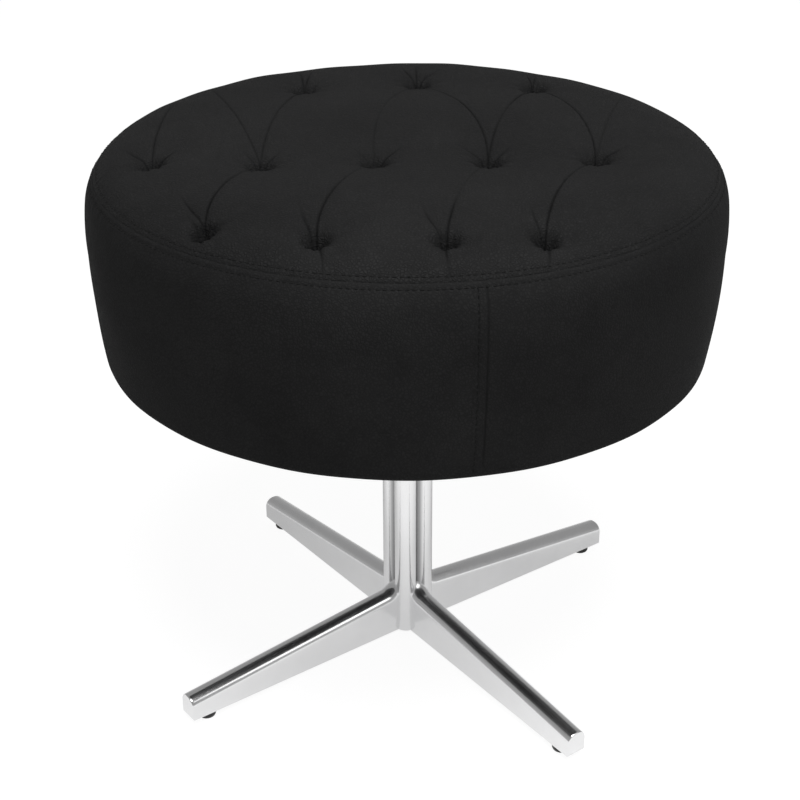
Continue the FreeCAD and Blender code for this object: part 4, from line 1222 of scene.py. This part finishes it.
def side_mesh():
    """The side cover with its padding behind it, as one closed ring."""
    azimuth = side_azimuths()
    along = side_places()
    count = len(azimuth)
    grid_azimuth, grid_along = np.meshgrid(azimuth, along)
    points, _, tuck_shade = side_surface(grid_along.ravel(), grid_azimuth.ravel())
    back = [(248.6, 456.9), (244.8, 453.3), (SIDE_BACK, 447.8), (SIDE_BACK, HEM[1] + HEM_THICKNESS),
            (HEM[0], HEM[1] + HEM_THICKNESS)]
    rings = [around(r, azimuth, z) for r, z in back]
    faces = net_faces(count, len(along) + len(back), wrap_columns=True, wrap_rows=True)
    mesh = new_mesh("side_cover", np.concatenate([points] + rings), faces)
    # The back of the side cover, behind it and above its hem, is painted fully in shade
    set_attribute(mesh, "tuck_shade", np.concatenate([tuck_shade, np.ones(count * len(back))]))
    return mesh


def stitch_mesh():
    """One stitch of thread, arched between the two holes that it goes into."""
    rings = []
    for x in np.linspace(-1.0, 1.0, STITCH_RINGS):
        thick = STITCH_THICKNESS * math.sqrt(max(1 - abs(x) ** 4, 0.05))
        rise = STITCH_ARCH * (1 - x ** 2) - STITCH_SINK
        for a in full_turn(STITCH_SIDES):
            rings.append((STITCH_HALF * x, thick * math.cos(a), rise + thick * math.sin(a)))
    faces = net_faces(STITCH_SIDES, STITCH_RINGS - 1, wrap_columns=True)
    faces.append(list(reversed(range(STITCH_SIDES))))
    faces.append(list(range(len(rings) - STITCH_SIDES, len(rings))))
    return new_mesh("stitch", rings, [face[::-1] for face in faces])


def path_mesh(name, points, outward, closed):
    """A line of points with the direction that each faces."""
    count = len(points)
    edges = [(k, k + 1) for k in range(count - 1)]
    if closed:
        edges.append((count - 1, 0))
    mesh = bpy.data.meshes.new(name)
    mesh.from_pydata((points * MM).tolist(), edges, [])
    attribute = mesh.attributes.new("outward", "FLOAT_VECTOR", "POINT")
    attribute.data.foreach_set("vector", outward.astype(np.float32).ravel())
    return mesh


def stitched(name, points, outward, closed, stitch, thread):
    """A row of stitches along a line on the covers."""
    path = path_mesh(name + "_line", points, outward, closed)
    values = {"Pitch": STITCH_PITCH * MM, "Stitch": stitch, "Material": MATERIALS[thread]}
    place(grown(name, path, STITCHES, values), None, "seat", "black_leather")


def build_stitches():
    """The rows of stitches on both sides of the seam and beside the upright seam."""
    stitch = new_object("stitch", stitch_mesh())
    azimuth = full_turn(RIM_LINE_POINTS)
    inner = TOP_LENGTH - STITCH_INSET
    points, _ = top_surface(inner * np.cos(azimuth), inner * np.sin(azimuth))
    slope = float(crown_section(np.array([inner]))[2][0])
    outward = around(math.sin(slope), azimuth, math.cos(slope))
    stitched("top_stitches", points, outward, True, stitch, "rim_thread")
    points, outward, _ = side_surface(np.full(RIM_LINE_POINTS, SIDE_LENGTH - STITCH_INSET), azimuth)
    stitched("side_stitches", points, outward, True, stitch, "rim_thread")
    low, high = UPRIGHT_LINE_ENDS
    along = np.linspace(HEM_LENGTH + low, SIDE_LENGTH - high, UPRIGHT_LINE_POINTS)
    beside = math.radians(UPRIGHT_SEAM) - LAP_STITCH / UPRIGHT_RADIUS
    points, outward, _ = side_surface(along, np.full(UPRIGHT_LINE_POINTS, beside))
    stitched("upright_stitches", points, outward, False, stitch, "thread")
    bpy.data.objects.remove(stitch)


def button_mesh():
    """A covered button, domed, with its cover gathered under its edge."""
    mesh = turned_mesh("button", BUTTON_SECTION, BUTTON_POINTS)
    for vertex in mesh.vertices:
        out = math.hypot(vertex.co.x, vertex.co.y) / MM
        turn = math.atan2(vertex.co.y, vertex.co.x)
        fold = BUTTON_FOLD * math.sin(BUTTON_FOLDS * turn) * smooth(out, *BUTTON_FOLD_REACH)
        vertex.co.x *= 1 + fold
        vertex.co.y *= 1 + fold
    return mesh


def build_buttons():
    """The covered buttons at the foot of the tufts."""
    button = new_object("button", button_mesh())
    spots = bpy.data.meshes.new("button_spots")
    spots.from_pydata([(x * MM, y * MM, TUFT_FLOOR_Z * MM) for x, y in TUFTS.values()], [], [])
    values = {"Button": button, "Seed": BUTTON_SEED, "Material": MATERIALS["button_leather_in_shade"]}
    buttons = grown("covered_buttons", spots, BUTTONS, values)
    place(buttons, None, "seat", "black_leather", "tuft_buttons")
    bpy.data.objects.remove(button)


def dust_cover_mesh():
    """The cloth under the seat, stapled round its rim and slack between."""
    radii = np.concatenate([np.linspace(DUST_INNER, 214.0, 34), np.linspace(216.0, DUST_OUTER, 9)])
    azimuth = full_turn(DUST_POINTS)
    rings = []
    for side in (0, 1):
        for r in (radii if side else radii[::-1]):
            slack = bell(r, *DUST_SLACK_RING) * smooth(r, 118.0, 132.0) * (1 - smooth(r, 200.0, 218.0))
            drop = DUST_SAG * slack * (0.7 + 0.3 * np.sin(5 * azimuth + r / 37.0))
            gathers = np.sin(24 * azimuth + 0.3 * np.sin(3 * azimuth))
            drop = drop + DUST_GATHER * slack * gathers * smooth(r, 165.0, 205.0)
            z = DUST_TOP_Z - DUST_GAP - drop - side * (DUST_THICKNESS - 2 * DUST_GAP)
            rings.append(around(r, azimuth, z))
    faces = net_faces(DUST_POINTS, len(rings), wrap_columns=True, wrap_rows=True)
    return new_mesh("dust_cloth", np.concatenate(rings), [face[::-1] for face in faces])


def build_upholstery():
    """The tufted top, the side cover, their stitches, the buttons and the cloth below."""
    top = place(new_object("tufted_top", top_mesh()), MATERIALS["black_leather"], "seat", "black_leather",
                "top_cover", "top_foam")
    side = place(new_object("side_cover", side_mesh()), MATERIALS["side_leather"], "seat", "black_leather",
                 "side_band", "side_foam")
    build_stitches()
    build_buttons()
    cloth = place(new_object("dust_cloth", dust_cover_mesh()), MATERIALS["black_cloth"],
                  "seat", "black_cloth", "dust_cover")


def finish_nodes():
    """Gives the carried-over nodes their materials."""
    for finish, names in NODE_FINISHES.items():
        for name in names:
            set_material(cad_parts[name], MATERIALS[finish])


# Studio

def seen_white(n, straight, reflected):
    """The share of white that rays see in the surround, straight or in a reflection."""
    path = n.add("ShaderNodeLightPath").outputs
    camera = n.calc("MULTIPLY", path["Is Camera Ray"], straight)
    glossy = n.calc("MULTIPLY", path["Is Glossy Ray"], reflected)
    through = n.calc("MULTIPLY", path["Is Transmission Ray"], straight)
    return n.calc("MAXIMUM", n.calc("MAXIMUM", camera, glossy), through)


def fading(n, space, axis, places, shares):
    """A share that changes between two places along an axis."""
    apart = n.add("ShaderNodeSeparateXYZ", {"Vector": n.add("ShaderNodeTexCoord").outputs[space]})
    values = {"Value": apart.outputs[axis], "From Min": places[0], "From Max": places[1],
              "To Min": shares[0], "To Max": shares[1]}
    return n.add("ShaderNodeMapRange", values).outputs["Result"]


def studio_world():
    """A white surround that darkens upwards in reflections, with a softer light for the object itself."""
    world = bpy.data.worlds.new("studio")
    n = fresh_nodes(world)
    seen = seen_white(n, 1.0, fading(n, "Generated", "Z", (0.0, 0.5), (0.3, 0.12)))
    light = n.add("ShaderNodeBackground", {"Color": WHITE, "Strength": 0.22})
    shown = n.add("ShaderNodeBackground", {"Color": WHITE, "Strength": 1.0})
    mix = n.add("ShaderNodeMixShader", {0: seen, 1: light.outputs[0], 2: shown.outputs[0]})
    n.add("ShaderNodeOutputWorld", {"Surface": mix.outputs[0]})
    bpy.context.scene.world = world


def studio_floor():
    """A pale floor, white in the open, that keeps the object's shadow."""
    material = bpy.data.materials.new("pale_floor")
    n = fresh_nodes(material)
    seen = seen_white(n, 0.78, fading(n, "Object", "Y", (-0.25, 0.35), (0.68, 0.26)))
    diffuse = n.add("ShaderNodeBsdfDiffuse", {"Color": (0.80, 0.80, 0.80, 1.0)})
    white = n.add("ShaderNodeEmission", {"Color": WHITE, "Strength": 1.2})
    mix = n.add("ShaderNodeMixShader", {0: seen, 1: diffuse.outputs[0], 2: white.outputs[0]})
    n.add("ShaderNodeOutputMaterial", {"Surface": mix.outputs[0]})
    corners = [(-FLOOR_HALF, -FLOOR_HALF, 0.0), (FLOOR_HALF, -FLOOR_HALF, 0.0),
               (FLOOR_HALF, FLOOR_HALF, 0.0), (-FLOOR_HALF, FLOOR_HALF, 0.0)]
    floor = new_object("floor", new_mesh("floor", corners, [[0, 1, 2, 3]]))
    set_material(floor, material)


def softbox(name, spot, aim, size, watts):
    """A large soft lamp that faces a point."""
    lamp = bpy.data.lights.new(name, "AREA")
    lamp.shape = "DISK"
    lamp.size = size
    lamp.energy = watts
    obj = new_object(name, lamp)
    obj.location = spot
    obj.rotation_euler = (Vector(aim) - Vector(spot)).to_track_quat("-Z", "Y").to_euler()


def studio_camera():
    """The camera at the photograph's place, with the picture's middle off the lens axis."""
    camera = bpy.data.cameras.new("camera")
    camera.sensor_width = 36.0
    camera.lens = 70.47
    camera.shift_x = -0.0075
    camera.shift_y = -0.0104
    obj = new_object("camera", camera)
    obj.location = (0.0, -1.2136, 0.8777)
    obj.rotation_euler = (math.radians(90.0 - 27.38), math.radians(0.11), 0.0)
    bpy.context.scene.camera = obj


build_base()
build_upholstery()
finish_nodes()
studio_world()
studio_floor()
softbox("front_key", spot=(0.21, -0.95, 2.80), aim=(0.0, 0.0, 0.4), size=1.5, watts=62.0)
softbox("side_fill", spot=(1.9, -1.0, 1.6), aim=(0.0, 0.0, 0.35), size=1.2, watts=4.5)
studio_camera()
bpy.context.scene.view_settings.view_transform = "Standard"
